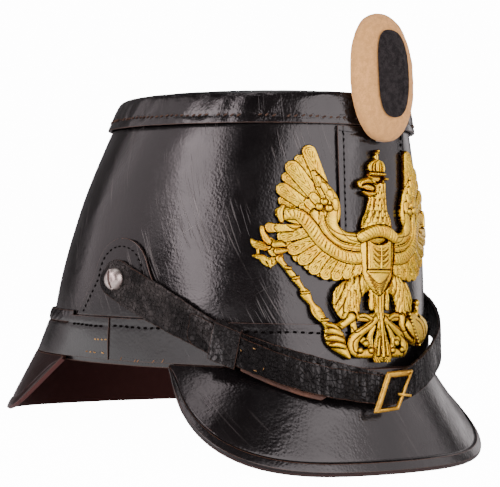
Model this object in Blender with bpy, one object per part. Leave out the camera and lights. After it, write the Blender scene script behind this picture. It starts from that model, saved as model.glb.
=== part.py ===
"""A black leather shako with a field badge, an eagle plate and a buckled chin strap.

Everything is drawn in the hat's own frame, in millimetres: the wearer looks along -Y, the
wearer's right hand side is -X, and Z = 0 is the lower edge of the head band.  The last step
tips the hat back until both visors stand on Z = 0 and centres its box on the origin.
"""

import math
from typing import NamedTuple

import bmesh
import bpy
from mathutils import Matrix, Vector

MM = 0.001
GAP = 0.35                      # clearance between pieces that touch

# --- Crown: three ovals give the profile, each (half length, half width, centre Y)
BASE_OVAL = (106.0, 88.0, 0.0)
WAIST_OVAL = (92.9, 87.4, -7.8)
RIM_OVAL = (81.3, 70.5, -16.4)
RIM_Z = 113.0                   # lower edge of the turned-down rim of the lid
CROWN_FOOT_Z = -2.4             # raw lower edge of the crown leather
CROWN_TOP_Z = 124.6
LID_TOP_Z = 129.1
LID_DOME = 1.4                  # the middle of the lid stands this much higher
LID_TILT = 0.9                  # the lid's front edge stands this much higher
LID_SADDLE = 0.8                # its rim is drawn up this much at the front and the back
LID_FULL = 1.6                  # its rim stands out this much more at the back, on top
CROWN_WALL = 2.4
LID_WALL = 2.1
LID_CORNER = 3.2
AROUND = 64                     # columns round the crown

# --- Head band
BAND_TOP_Z = 20.3
BAND_WALL = 2.1
BAND_SEAM = math.radians(84.0)         # the rear part starts here, on both sides
BAND_STEP = 0.6                        # the rear part stands this much prouder at the seam
BAND_STEP_FADE = math.radians(98.0)
REAR_BAND_WALL = 1.6
REAR_EDGE_START = math.radians(104.0)  # whip-stitched edge round the back
REAR_EDGE_Z = (16.4, 22.6)
REAR_FLARE = 4.9                # how far the back of the band leans out at its foot

# --- Leather panel behind the badge and the eagle, and the tabs behind the strap screws
PANEL_HALF_WIDTH = 22.2
PANEL_WALL = 1.5
TAB_WALL = 1.5
TAB_CENTRE_Y = -18.0
TAB_CENTRE_Z = 40.5
TAB_RADIUS = 18.0
TAB_FOOT_HALF_WIDTH = 32.0

# --- Visors
VISOR_WALL = 2.3
VISOR_RIM = 6.6                 # width of the moulded edge
VISOR_BEAD = 0.9
VISOR_GROOVE = 0.5

# --- Chin strap
STRAP_WALL = 1.8
TONGUE_WALL = 1.2
POST_ANGLE = math.radians(82.4)
POST_Z = 38.7
SCREW_RADIUS = 5.6
SCREW_HEIGHT = 4.6
SCREW_SLOT = (1.2, 1.9)         # width, depth

# --- Field badge
BADGE_SIZE = (40.4, 61.8)
BADGE_DOME = 9.6
BADGE_EDGE = 2.2
BADGE_FOOT = (-102.4, 106.5)    # Y and Z of the lowest point of its back
BADGE_LEAN = math.radians(4.6)  # backwards
BADGE_HEART_SIZE = (20.6, 42.2)
BADGE_HEART_RAISE = 1.1
BADGE_HEART_WALL = 0.9
PRONG_SIZE = (6.0, 0.7, 13.5)

# --- Eagle plate
EAGLE_SHIFT = -4.0              # the plate sits this far to the wearer's right
EAGLE_STAND_OFF = 2.3           # over the front panel
EAGLE_WING_STAND_OFF = 1.2      # the wings bend in towards the crown beside the panel
EAGLE_FOOT_STAND_OFF = 3.0      # over the head band
EAGLE_FOOT_Z = (22.0, 27.0)     # between these heights the plate steps out over the band
EAGLE_SHEET = 1.1
EAGLE_CUT = 12.0                # spacing of the cuts that let the flat plate follow the crown


class Finish(NamedTuple):
    """Colour and surface of one material."""
    name: str
    colour: tuple
    roughness: float
    metallic: float = 0.0


BLACK_LEATHER = Finish("black_lacquered_leather", (0.012, 0.010, 0.011), 0.28)
STRAP_LEATHER = Finish("worn_strap_leather", (0.020, 0.017, 0.016), 0.45)
BROWN_LEATHER = Finish("brown_leather", (0.10, 0.035, 0.018), 0.6)
GILT = Finish("gilt_brass", (0.80, 0.50, 0.13), 0.32, 1.0)
BRASS = Finish("brass", (0.66, 0.44, 0.15), 0.38, 1.0)
STEEL = Finish("steel", (0.55, 0.50, 0.48), 0.35, 1.0)
CREAM_WOOL = Finish("cream_wool", (0.62, 0.45, 0.30), 0.95)
BLACK_WOOL = Finish("black_wool", (0.012, 0.011, 0.012), 0.95)


def material(finish):
    """Return the Principled material of a finish, making it once."""
    found = bpy.data.materials.get(finish.name)
    if found:
        return found
    made = bpy.data.materials.new(finish.name)
    made.use_nodes = True
    shader = made.node_tree.nodes["Principled BSDF"]
    shader.inputs["Base Color"].default_value = (*finish.colour, 1.0)
    shader.inputs["Roughness"].default_value = finish.roughness
    shader.inputs["Metallic"].default_value = finish.metallic
    return made


# ---------------------------------------------------------------- curves and surfaces

def smooth(t):
    """Ease from 0 to 1."""
    t = min(max(t, 0.0), 1.0)
    return t * t * (3.0 - 2.0 * t)


def table(rows, x, column):
    """Read a column of a sorted table at x with a smooth curve through its rows."""
    xs = [row[0] for row in rows]
    ys = [row[column] for row in rows]
    if x <= xs[0]:
        return ys[0]
    if x >= xs[-1]:
        return ys[-1]
    i = max(k for k in range(len(xs) - 1) if xs[k] <= x)
    span = xs[i + 1] - xs[i]
    t = (x - xs[i]) / span

    def slope(k):
        if k == 0 or k == len(xs) - 1:
            j = max(k - 1, 0)
            return (ys[j + 1] - ys[j]) / (xs[j + 1] - xs[j])
        return (ys[k + 1] - ys[k - 1]) / (xs[k + 1] - xs[k - 1])

    a, b = slope(i) * span, slope(i + 1) * span
    rise = ys[i + 1] - ys[i]
    return ys[i] + t * (a + t * (3 * rise - 2 * a - b + t * (a + b - 2 * rise)))


def oval(z):
    """Half length, half width and centre Y of the crown leather's outside at height z."""
    t = z / RIM_Z
    base = 2 * (t - 0.5) * (t - 1)
    waist = -4 * t * (t - 1)
    rim = 2 * t * (t - 0.5)
    return [b * base + w * waist + r * rim
            for b, w, r in zip(BASE_OVAL, WAIST_OVAL, RIM_OVAL)]


def on_crown(angle, z, out=0.0):
    """Point on the crown: angle from the front centre towards +X, out along the normal."""
    length, width, centre = oval(z)
    normal = Vector((math.sin(angle) / width, -math.cos(angle) / length, 0.0)).normalized()
    spot = Vector((width * math.sin(angle), centre - length * math.cos(angle), z))
    return spot + normal * out


def angle_at_x(x, z):
    """Angle from the front centre at which the crown is x away from the middle."""
    return math.asin(x / oval(z)[1])


def angle_at_arc(distance, z, steps=24):
    """Angle from the front centre after walking a distance round the crown at height z."""
    length, width, _ = oval(z)
    angle = 0.0
    for _ in range(steps):
        speed = math.hypot(width * math.cos(angle), length * math.sin(angle))
        angle += distance / steps / speed
    return angle


def spread(start, end, count):
    """Evenly spaced values from start to end."""
    return [start + (end - start) * i / (count - 1) for i in range(count)]


# ---------------------------------------------------------------- mesh building

def new_object(name, finish, points, faces):
    """Make an object from points in millimetres and faces, with its faces turned outwards."""
    mesh = bpy.data.meshes.new(name)
    mesh.from_pydata([Vector(p) * MM for p in points], [], faces)
    body = bmesh.new()
    body.from_mesh(mesh)
    bmesh.ops.recalc_face_normals(body, faces=body.faces)
    body.to_mesh(mesh)
    body.free()
    mesh.shade_smooth()
    mesh.set_sharp_from_angle(angle=math.radians(35))
    made = bpy.data.objects.new(name, mesh)
    made.data.materials.append(material(finish))
    bpy.context.scene.collection.objects.link(made)
    return made


def shell(name, finish, outer, inner, ring=False):
    """Join an outer and an inner grid of points into one closed wall.

    The grids hold rows of points; with ring the rows close on themselves, and the two grids
    may then differ in their number of rows.
    """
    columns = len(outer[0])
    last = columns if ring else columns - 1
    points, faces, starts = [], [], []
    for grid in (outer, inner):
        starts.append(len(points))
        points.extend(p for row in grid for p in row)

    def at(i, j, side):
        row = i % len(outer if side == 0 else inner)
        return starts[side] + row * columns + j % columns

    for side, grid in enumerate((outer, inner)):
        faces.extend((at(i, j, side), at(i, j + 1, side), at(i + 1, j + 1, side),
                      at(i + 1, j, side)) for i in range(len(grid) - 1) for j in range(last))
    for i in (0, -1):
        faces.extend((at(i, j, 0), at(i, j, 1), at(i, j + 1, 1), at(i, j + 1, 0))
                     for j in range(last))
    if not ring:
        for j in (0, columns - 1):
            faces.extend((at(i, j, 0), at(i + 1, j, 0), at(i + 1, j, 1), at(i, j, 1))
                         for i in range(len(outer) - 1))
    return new_object(name, finish, points, faces)


def lens(name, finish, rings_out, rings_in, centre_out, centre_in):
    """Close a disc-like piece: rings from the rim to the middle, then one centre point."""
    count = len(rings_out[0])
    points, faces = [], []
    for rings, centre in ((rings_out, centre_out), (rings_in, centre_in)):
        start = len(points)
        for ring in rings:
            points.extend(ring)
        middle = len(points)
        points.append(centre)
        for r in range(len(rings) - 1):
            for j in range(count):
                a, b = start + r * count, start + (r + 1) * count
                faces.append((a + j, a + (j + 1) % count, b + (j + 1) % count, b + j))
        a = start + (len(rings) - 1) * count
        faces.extend((a + j, a + (j + 1) % count, middle) for j in range(count))
    under = len(rings_out) * count + 1
    faces.extend((j, (j + 1) % count, under + (j + 1) % count, under + j)
                 for j in range(count))
    return new_object(name, finish, points, faces)


# ---------------------------------------------------------------- crown and lid

def make_crown():
    """The leather tube of the crown, open at both ends."""
    angles = spread(0.0, 2 * math.pi, AROUND + 1)[:-1]
    outer = [[on_crown(a, z) for a in angles] for z in spread(CROWN_FOOT_Z, CROWN_TOP_Z, 7)]
    inner = [[on_crown(a, z, -CROWN_WALL) for a in angles]
             for z in spread(CROWN_FOOT_Z, CROWN_TOP_Z, 5)]
    return shell("crown_shell", BLACK_LEATHER, outer, inner, ring=True)


def lid_point(angle, z, out):
    """Point on the lid, which is tilted up a little to the front and fuller at the back."""
    rise = (z - RIM_Z) / (LID_TOP_Z - RIM_Z)
    spot = on_crown(angle, z, out + LID_FULL * rise * (1 - math.cos(angle)) / 2)
    spot.z += LID_TILT * math.cos(angle) * (0.6 + 0.4 * rise)
    spot.z += LID_SADDLE * math.cos(angle) ** 2 * (1 - rise)
    return spot


def make_lid():
    """The lid: a leather disc whose rim is turned down over the crown."""
    angles = spread(0.0, 2 * math.pi, AROUND + 1)[:-1]
    out = GAP + LID_WALL
    shoulder = LID_TOP_Z - LID_CORNER
    # each row: height, distance out from the crown
    outside = [(RIM_Z, out)]
    outside += [(shoulder + LID_CORNER * math.sin(c),
                 out - LID_CORNER * (1 - math.cos(c)))
                for c in (0.0, math.radians(45), math.radians(80))]
    inside = [(RIM_Z, GAP), (LID_TOP_Z - LID_WALL, GAP)]
    middle = Vector((0.0, oval(LID_TOP_Z)[2], LID_TOP_Z))

    def rings(profile, scales, sink):
        made = [[lid_point(a, z, o) for a in angles] for z, o in profile]
        last = made[-1]
        for k in scales:
            rise = LID_DOME * (1 - k * k)
            made.append([Vector((middle.x + (p.x - middle.x) * k,
                                 middle.y + (p.y - middle.y) * k,
                                 p.z + rise + (middle.z - sink - p.z) * (1 - k)))
                         for p in last])
        return made, Vector((middle.x, middle.y, middle.z + LID_DOME - sink))

    rings_out, centre_out = rings(outside, (0.9, 0.5), 0.0)
    rings_in, centre_in = rings(inside, (0.55,), LID_WALL)
    return lens("top_lid", BLACK_LEATHER, rings_out, rings_in, centre_out, centre_in)


# ---------------------------------------------------------------- band, panel and tabs

def make_front_band():
    """The front part of the head band."""
    end = BAND_SEAM - math.radians(0.25)
    angles = spread(-end, end, 31)
    outer = [[on_crown(a, z, GAP + BAND_WALL) for a in angles] for z in (0.0, BAND_TOP_Z)]
    inner = [[on_crown(a, z, GAP) for a in angles] for z in (0.0, BAND_TOP_Z)]
    return shell("head_band_front", BLACK_LEATHER, outer, inner)


def rear_band_out(angle, z):
    """Distance from the crown to the outside of the rear part of the band."""
    turn = abs(math.remainder(angle, 2 * math.pi))
    fade = smooth((BAND_STEP_FADE - turn) / (BAND_STEP_FADE - BAND_SEAM))
    flare = REAR_FLARE * smooth(1.75 * (turn - BAND_STEP_FADE) / (math.pi - BAND_STEP_FADE))
    out = REAR_BAND_WALL + (BAND_WALL + BAND_STEP - REAR_BAND_WALL) * fade
    return GAP + out + flare * max(1 - z / REAR_EDGE_Z[0], 0.0) ** 1.2


def make_rear_band():
    """The rear part of the head band, which leans out towards its foot."""
    turns = [math.radians(d) for d in (84.0, 89.0, 94.0, 99.0)]
    turns += [REAR_EDGE_START - math.radians(0.4), REAR_EDGE_START]
    angles = turns + spread(REAR_EDGE_START + math.radians(5), math.pi, 10)
    angles += [2 * math.pi - a for a in reversed(angles[:-1])]
    outer, inner = [], []
    for share in (0.0, 0.5, 1.0):
        row_out, row_in = [], []
        for a in angles:
            turn = min(a, 2 * math.pi - a)
            plain = turn < REAR_EDGE_START - math.radians(0.1)
            z = share * (BAND_TOP_Z if plain else REAR_EDGE_Z[0] - GAP)
            out = rear_band_out(a, z)
            row_out.append(on_crown(a, z, out))
            row_in.append(on_crown(a, z, out - REAR_BAND_WALL if turn > BAND_STEP_FADE
                                   else GAP))
        outer.append(row_out)
        inner.append(row_in)
    return shell("head_band_rear", BLACK_LEATHER, outer, inner)


def make_rear_edge():
    """The whip-stitched edge above the rear part of the band."""
    angles = spread(REAR_EDGE_START, 2 * math.pi - REAR_EDGE_START, 25)
    low, high = REAR_EDGE_Z
    # each row: height, distance out
    section = ((low, 1.7), ((low + high) / 2, 1.9), (high, 1.4))
    outer = [[on_crown(a, z, o) for a in angles] for z, o in section]
    inner = [[on_crown(a, z, GAP) for a in angles] for z, _ in section]
    return shell("head_band_rear_edge", BLACK_LEATHER, outer, inner)


def make_panel():
    """The stitched leather panel down the front, which holds the badge and the eagle."""
    columns = spread(-PANEL_HALF_WIDTH, PANEL_HALF_WIDTH, 7)
    heights = spread(BAND_TOP_Z + GAP, RIM_Z + LID_SADDLE - 0.1, 6)

    def grid(out):
        return [[on_crown(angle_at_x(x, z), z, out) for x in columns] for z in heights]

    return shell("badge_panel", BLACK_LEATHER, grid(GAP + PANEL_WALL), grid(GAP))


def tab_half_width(z):
    """Half width of a side tab: a round top that runs out into a wide foot."""
    foot = BAND_TOP_Z + GAP
    if z > TAB_CENTRE_Z:
        return math.sqrt(max(TAB_RADIUS ** 2 - (z - TAB_CENTRE_Z) ** 2, 1.0))
    t = (TAB_CENTRE_Z - z) / (TAB_CENTRE_Z - foot)
    return TAB_RADIUS + (TAB_FOOT_HALF_WIDTH - TAB_RADIUS) * t ** 1.15


def make_tab(name, side):
    """A rounded leather tab behind the strap screw; side is -1 for the wearer's right."""
    foot = BAND_TOP_Z + GAP + 0.2
    bends = [math.sin(math.radians(d)) for d in (0, 35, 58, 74, 86)]
    heights = [foot, (foot + TAB_CENTRE_Z) / 2]
    heights += [TAB_CENTRE_Z + TAB_RADIUS * bend for bend in bends]

    def point(share, z, out):
        length, _, centre = oval(z)
        y = TAB_CENTRE_Y + share * tab_half_width(z)
        return on_crown(side * math.acos((centre - y) / length), z, out)

    def grid(out):
        return [[point(share, z, out) for share in spread(-1.0, 1.0, 7)] for z in heights]

    return shell(name, BLACK_LEATHER, grid(GAP + 0.1 + TAB_WALL), grid(GAP + 0.1))


# ---------------------------------------------------------------- visors

class Visor(NamedTuple):
    """One visor: how far round the head it reaches, its depth, and how steeply it hangs."""
    name: str
    facing: float           # angle of its middle, 0 at the front, pi at the back
    half_angle: float
    depth: float
    slope_middle: float     # degrees below level
    slope_side: float
    fullness: float         # how long the edge keeps its depth towards the corners
    corner: float
    ramp: float = 0.0       # angle over which the depth grows, for straight side edges
    waning: float = 0.0     # share of the depth lost towards the sides
    bead: float = VISOR_BEAD
    columns: int = 33

    def root(self, turn):
        """Outer point where the visor leaves the band, and the direction straight out."""
        angle = self.facing + turn
        out = rear_band_out(angle, 0.0) if self.facing else GAP + BAND_WALL
        spot = on_crown(angle, 0.0, out + 0.15)
        away = (on_crown(angle, 0.0, 1.0) - on_crown(angle, 0.0)).normalized()
        spot.z = -GAP
        return spot, away

    def reach(self, turn):
        """Depth of the visor at an angle from its middle."""
        if self.ramp:
            rise = max(self.half_angle - abs(turn), 0.0) / self.ramp
            full = rise / (1 + rise ** self.corner) ** (1 / self.corner)
        else:
            full = max(1 - abs(turn / self.half_angle) ** self.fullness, 0.0)
            full **= 1 / self.corner
        return self.depth * full * (1 - self.waning * math.sin(turn) ** 2)

    def point(self, turn, share, lift=0.0):
        """Point between the root (share 0) and the edge (share 1), lifted off the surface."""
        spot, away = self.root(turn)
        side = math.sin(turn) ** 2
        slope = math.radians(self.slope_middle * (1 - side) + self.slope_side * side)
        drop = self.reach(turn)
        drop -= min(0.75 * VISOR_WALL * math.cos(slope), 0.3 * drop)
        run = drop / math.tan(slope)
        down = Vector((away.x * run, away.y * run, -drop))
        normal = Vector((away.x * drop, away.y * drop, run)).normalized()
        return spot + down * share + normal * lift

    def grids(self):
        """Outer and inner grids, with the moulded edge raised above a groove."""
        limit = self.half_angle * 0.985
        turns = [limit * math.sin(math.radians(d)) for d in spread(-90, 90, self.columns)]
        outer, inner = [], []
        for turn in turns:
            length = (self.point(turn, 1.0) - self.point(turn, 0.0)).length
            rim = min(VISOR_RIM, 0.45 * length) / length
            size = min(1.0, length / 16.0)
            # each row: share of the depth, height over the plain surface
            section = ((0.0, 0.0), (1 - rim * 1.12, 0.0), (1 - rim, -VISOR_GROOVE * size),
                       (1 - rim * 0.82, self.bead * size),
                       (1 - rim * 0.2, self.bead * size), (1.0, -0.2 * size))
            outer.append([self.point(turn, s, h) for s, h in section])
            inner.append([self.point(turn, s, -VISOR_WALL) for s, h in section])
        return outer, inner


FRONT_VISOR = Visor("front_visor", 0.0, math.radians(65.4), 48.0, 70.5, 37.5, 5.2, 0.8)
REAR_VISOR = Visor("rear_visor", math.pi, math.radians(75.4), 33.6, 66.4, 60.5, 1.0, 6.0,
                   math.radians(15.4), 0.14, 0.3, 27)


def make_visor(visor):
    """A visor: one moulded leather sheet."""
    outer, inner = visor.grids()
    for grid in (outer, inner):
        for row in grid:
            row[0].z = -GAP
    return shell(visor.name, BLACK_LEATHER, outer, inner)


# ---------------------------------------------------------------- chin strap

# The strap's lie on the wearer's right and across the front.  Columns: angle in degrees,
# height of the reference line, distance out of the lowest layer's middle, lean of the lower
# edge outwards in degrees, slant of the strap's cross lines in degrees of angle per mm.
STRAP_LIE = (
    (-88.0, 42.8, 3.35, 0.0, 0.30),
    (-82.4, 38.7, 3.35, 0.0, 0.28),
    (-69.0, 28.1, 3.55, 0.0, 0.16),
    (-60.0, 20.6, 4.2, 0.0, 0.08),
    (-52.0, 12.6, 5.0, 0.0, 0.12),
    (-45.0, 7.3, 5.5, 3.0, 0.12),
    (-37.0, 1.0, 6.4, 7.0, 0.10),
    (-30.0, -3.3, 7.3, 10.0, 0.08),
    (-22.0, -6.6, 8.2, 10.0, 0.06),
    (-12.0, -8.8, 9.2, 6.0, 0.0),
    (-4.0, -10.2, 9.8, 0.0, 0.0),
)

# The far stretch, from the buckle round the wearer's left to the screw.  Same columns, with
# the distance out of the upper layer's middle.
FAR_LIE = (
    (-4.0, -10.2, 12.0, 0.0, 0.0),
    (2.0, -7.2, 11.7, 0.0, 0.0),
    (12.0, -1.5, 10.6, 4.0, 0.0),
    (24.0, 6.0, 8.9, 5.0, 0.0),
    (36.0, 12.2, 7.7, 2.0, -0.05),
    (48.0, 17.6, 7.4, 0.0, -0.1),
    (60.0, 23.8, 7.5, -3.0, -0.15),
    (70.0, 30.2, 5.8, -2.0, -0.2),
    (77.5, 35.2, 3.35, 0.0, -0.24),
    (82.4, 38.7, 3.35, 0.0, -0.28),
    (88.0, 42.8, 3.35, 0.0, -0.30),
)


def strap_point(angle, across, out, lie=STRAP_LIE):
    """Point on the strap's sheet: across is measured up from the reference line."""
    degrees = math.degrees(angle)
    lean = math.radians(table(lie, degrees, 3))
    turned = angle + math.radians(table(lie, degrees, 4) * across)
    spot = on_crown(turned, table(lie, degrees, 1) + across * math.cos(lean))
    away = (on_crown(turned, spot.z, 1.0) - on_crown(turned, spot.z)).normalized()
    distance = table(lie, degrees, 2) - across * math.sin(lean)
    outward = Vector((away.x * math.cos(lean), away.y * math.cos(lean), math.sin(lean)))
    return spot + away * distance + outward * out


class StrapRow(NamedTuple):
    """A station along a strap: angle in degrees, middle line, half width, distance out."""
    angle: float
    middle: float
    half_width: float
    out: float


# The near strap, from its round end behind the screw to the buckle's bar.
NEAR_STRAP = (
    StrapRow(-87.8, 0.0, 2.6, 0.0),
    StrapRow(-87.2, 0.0, 5.0, 0.0),
    StrapRow(-86.0, 0.0, 7.0, 0.0),
    StrapRow(-84.0, 0.0, 8.0, 0.0),
    StrapRow(-79.0, 0.0, 8.2, 0.0),
    StrapRow(-74.0, 0.0, 8.4, 0.0),
    StrapRow(-69.0, 0.0, 8.7, 0.0),
    StrapRow(-63.0, 0.0, 8.8, 0.0),
    StrapRow(-57.0, 0.3, 8.2, 0.0),
    StrapRow(-51.0, 0.8, 7.2, 0.0),
    StrapRow(-45.0, 1.7, 6.9, 0.0),
    StrapRow(-37.0, 3.2, 6.8, 0.0),
    StrapRow(-30.0, 4.4, 6.9, 0.0),
    StrapRow(-22.0, 4.0, 7.0, 0.0),
    StrapRow(-12.0, 2.4, 7.1, 0.0),
    StrapRow(-5.4, 1.0, 7.0, 0.0),
)

# The upper strap on the wearer's right of the buckle: its end lies over the near strap.
UPPER_STRAP = (
    StrapRow(-57.8, 0.0, 5.4, 2.15),
    StrapRow(-57.0, 0.0, 6.8, 2.15),
    StrapRow(-54.0, 0.0, 7.0, 2.15),
    StrapRow(-49.0, 0.0, 6.8, 2.3),
    StrapRow(-45.5, 0.0, 6.7, 3.1),
    StrapRow(-42.0, 0.0, 6.8, 3.7),
    StrapRow(-36.0, 0.0, 6.9, 3.7),
    StrapRow(-30.0, 0.0, 7.0, 3.7),
    StrapRow(-24.0, 0.0, 7.0, 3.7),
    StrapRow(-19.0, 0.0, 7.0, 3.6),
    StrapRow(-15.0, 0.0, 7.0, 2.6),
    StrapRow(-9.0, 0.0, 7.0, 2.2),
    StrapRow(-4.0, 0.0, 7.0, 2.2),
)
FAR_STRAP = (
    StrapRow(2.0, 0.0, 7.1, 0.0),
    StrapRow(9.0, 0.0, 7.2, 0.0),
    StrapRow(17.0, 0.0, 7.3, 0.0),
    StrapRow(25.0, 0.0, 7.4, 0.0),
    StrapRow(32.0, 0.0, 7.5, 0.0),
    StrapRow(38.0, 0.0, 7.6, 0.0),
    StrapRow(44.0, 0.0, 7.7, 0.0),
    StrapRow(50.0, 0.0, 7.8, 0.0),
    StrapRow(57.0, 0.0, 8.0, 0.0),
    StrapRow(64.0, 0.0, 8.2, 0.0),
    StrapRow(70.0, 0.0, 8.2, 0.0),
    StrapRow(74.0, 0.0, 8.2, 0.0),
    StrapRow(78.0, 0.0, 8.1, 0.0),
    StrapRow(84.0, 0.0, 8.0, 0.0),
    StrapRow(86.0, 0.0, 7.0, 0.0),
    StrapRow(87.2, 0.0, 5.0, 0.0),
    StrapRow(87.8, 0.0, 2.6, 0.0),
)

# The brown tongue between the two layers, which ends in a point near the buckle.
TONGUE = (
    StrapRow(-43.6, -1.3, 6.6, 1.8),
    StrapRow(-39.0, -1.5, 6.8, 1.9),
    StrapRow(-33.0, -1.8, 6.8, 1.9),
    StrapRow(-28.0, -2.1, 6.8, 1.9),
    StrapRow(-24.2, -2.2, 6.6, 1.9),
    StrapRow(-22.6, -1.8, 4.8, 1.8),
    StrapRow(-20.8, -1.8, 1.6, 1.8),
)


def strap_grid(rows, out, lie):
    """Grid over a strap's face, a row of three points for each station."""
    return [[strap_point(math.radians(row.angle), row.middle + row.half_width * side,
                         row.out + out, lie) for side in (-1.0, 0.0, 1.0)] for row in rows]


def make_strap(name, finish, wall, *stretches):
    """A flat strap through one or more stretches, each given with its own lie."""
    outer = [row for rows, lie in stretches for row in strap_grid(rows, wall / 2, lie)]
    inner = [row for rows, lie in stretches for row in strap_grid(rows, -wall / 2, lie)]
    return shell(name, finish, outer, inner)


KEEPER_ANGLES = (-51.6, -48.2, -44.8)
KEEPER_WALL = 1.0
# Corners of the keeper's opening: across the strap, distance out.
KEEPER_HOLE = ((-7.5, -1.3), (9.1, -1.3), (9.1, 1.1), (7.6, 4.4), (-7.5, 4.4))


def make_keeper():
    """The leather loop that holds the strap's end."""
    middle = Vector((0.6, 1.5))

    def loop(degrees, grow):
        ring = []
        for across, out in KEEPER_HOLE:
            step = Vector((math.copysign(grow, across - middle.x),
                           math.copysign(grow, out - middle.y)))
            if out == 1.1:
                step.y = 0.0
            ring.append(strap_point(math.radians(degrees), across + step.x, out + step.y))
        return ring

    outer = [loop(d, KEEPER_WALL) for d in KEEPER_ANGLES]
    inner = [loop(d, 0.0) for d in KEEPER_ANGLES]
    return shell("strap_keeper", STRAP_LEATHER, outer, inner, ring=True)


# The buckle lies askew on the strap.  Columns: angle in degrees, height, distance out, and
# the width of the bar that runs on to the next corner.
BUCKLE_CORNERS = (
    (-10.8, -19.8, 13.9, 1.3),
    (-3.0, -18.5, 13.9, 1.2),
    (3.1, -0.6, 14.4, 2.4),
    (-5.9, -1.3, 14.4, 2.4),
)
BUCKLE_THICK = 1.2
PRONG_WIDTH = 1.2
# The prong's run: distance past the middle of the bar, height over it.
PRONG_RUN = ((-3.6, -0.2), (-2.2, 1.0), (-1.3, 1.5), (3.6, 1.4))


def beam(start, end, across, thick, outward):
    """The eight corners and six faces of a bar between two points."""
    along = (end - start).normalized()
    side = along.cross(outward).normalized() * across / 2
    up = side.cross(along).normalized() * thick / 2
    points = [base + side * a + up * b for base in (start, end)
              for a, b in ((-1, -1), (1, -1), (1, 1), (-1, 1))]
    faces = [(0, 1, 2, 3), (4, 5, 6, 7), (0, 1, 5, 4), (1, 2, 6, 5), (2, 3, 7, 6),
             (3, 0, 4, 7)]
    return points, faces


def buckle_corner(k):
    """Outer corner k of the buckle."""
    angle, height, out, _ = BUCKLE_CORNERS[k % 4]
    return on_crown(math.radians(angle), height, out)


def make_buckle():
    """The brass frame: four bars in one ring."""
    corners = [buckle_corner(k) for k in range(4)]
    outward = (corners[1] - corners[0]).cross(corners[3] - corners[0]).normalized()
    inside = []
    for k, corner in enumerate(corners):
        back = (corners[k - 1] - corner).normalized()
        ahead = (corners[(k + 1) % 4] - corner).normalized()
        spread_sine = back.cross(ahead).length
        inside.append(corner + back * (BUCKLE_CORNERS[k][3] / spread_sine)
                      + ahead * (BUCKLE_CORNERS[k - 1][3] / spread_sine))
    half = outward * BUCKLE_THICK / 2
    rows = [[p - half for p in corners], [p + half * 0.3 for p in corners],
            [p.lerp(q, 0.25) + half for p, q in zip(corners, inside)],
            [p.lerp(q, 0.75) + half for p, q in zip(corners, inside)],
            [p + half * 0.3 for p in inside], [p - half for p in inside]]
    points = [p for row in rows for p in row]
    faces = []
    for i in range(len(rows)):
        a, b = i * 4, (i + 1) % len(rows) * 4
        faces.extend((a + j, a + (j + 1) % 4, b + (j + 1) % 4, b + j) for j in range(4))
    return new_object("buckle_frame", BRASS, points, faces)


def make_buckle_prong():
    """The end of the prong: it leaves the strap inside the frame and crosses the bar."""
    low, high = buckle_corner(1), buckle_corner(2)
    rest = low.lerp(high, 0.37)
    away = (on_crown(0.0, rest.z, 1.0) - on_crown(0.0, rest.z)).normalized()
    along = Vector((0, 0, 1)).cross(away) * -1
    side = Vector((0, 0, 1)) * PRONG_WIDTH / 2
    outer, inner = [], []
    for past, lift in PRONG_RUN:
        spot = rest - along * past + away * lift
        spot.z -= 0.12 * past
        outer.append([spot - side + away * 0.5, spot + side + away * 0.5])
        inner.append([spot - side - away * 0.5, spot + side - away * 0.5])
    return shell("buckle_prong", BRASS, outer, inner)


def make_screw(name, side):
    """A domed steel screw with a slot, on the strap's round end."""
    angle = side * POST_ANGLE
    seat = 3.35 + STRAP_WALL / 2 + GAP
    base = on_crown(angle, POST_Z, seat)
    away = (on_crown(angle, POST_Z, 1.0) - on_crown(angle, POST_Z)).normalized()
    up = Vector((0, 0, 1))
    across = up.cross(away)
    count = 18
    rows = ((0.0, 1.0), (0.9, 1.0), (2.9, 0.84), (4.1, 0.5))
    rings = [[base + away * h * SCREW_HEIGHT / 4.6
              + (across * math.cos(t) + up * math.sin(t)) * SCREW_RADIUS * r
              for t in spread(0.0, 2 * math.pi, count + 1)[:-1]] for h, r in rows]
    made = lens(name, STEEL, rings, [rings[0]], base + away * SCREW_HEIGHT, base)
    weld(made)
    width, depth = SCREW_SLOT
    top = base + away * (SCREW_HEIGHT + 2.0)
    bottom = base + away * (SCREW_HEIGHT - depth)
    middle, lean = (top + bottom) / 2, Matrix.Rotation(math.radians(12.0), 4, away)
    long_way = (lean @ up) * SCREW_RADIUS * 1.3
    points, faces = beam(middle - long_way, middle + long_way, width, (top - bottom).length,
                         away)
    cutter = new_object(name + "_slot_cutter", STEEL, points, faces)
    cut(made, cutter)
    return made


def weld(piece):
    """Merge points that lie on each other."""
    body = bmesh.new()
    body.from_mesh(piece.data)
    bmesh.ops.remove_doubles(body, verts=body.verts, dist=0.01 * MM)
    bmesh.ops.recalc_face_normals(body, faces=body.faces)
    body.to_mesh(piece.data)
    body.free()


def cut(piece, cutter):
    """Subtract a hidden cutter from a piece with a live Boolean."""
    cutter.hide_render = True
    cutter.display_type = 'WIRE'
    boolean = piece.modifiers.new("slot", 'BOOLEAN')
    boolean.operation = 'DIFFERENCE'
    boolean.solver = 'EXACT'
    boolean.object = cutter


# ---------------------------------------------------------------- field badge

def badge_place():
    """Matrix from the badge's own plane (X across, Z up, -Y to the front) to the hat."""
    foot = Matrix.Translation((0.0, *BADGE_FOOT))
    lean = Matrix.Rotation(-BADGE_LEAN, 4, 'X')
    return foot @ lean @ Matrix.Translation((0.0, 0.0, BADGE_SIZE[1] / 2))


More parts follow.
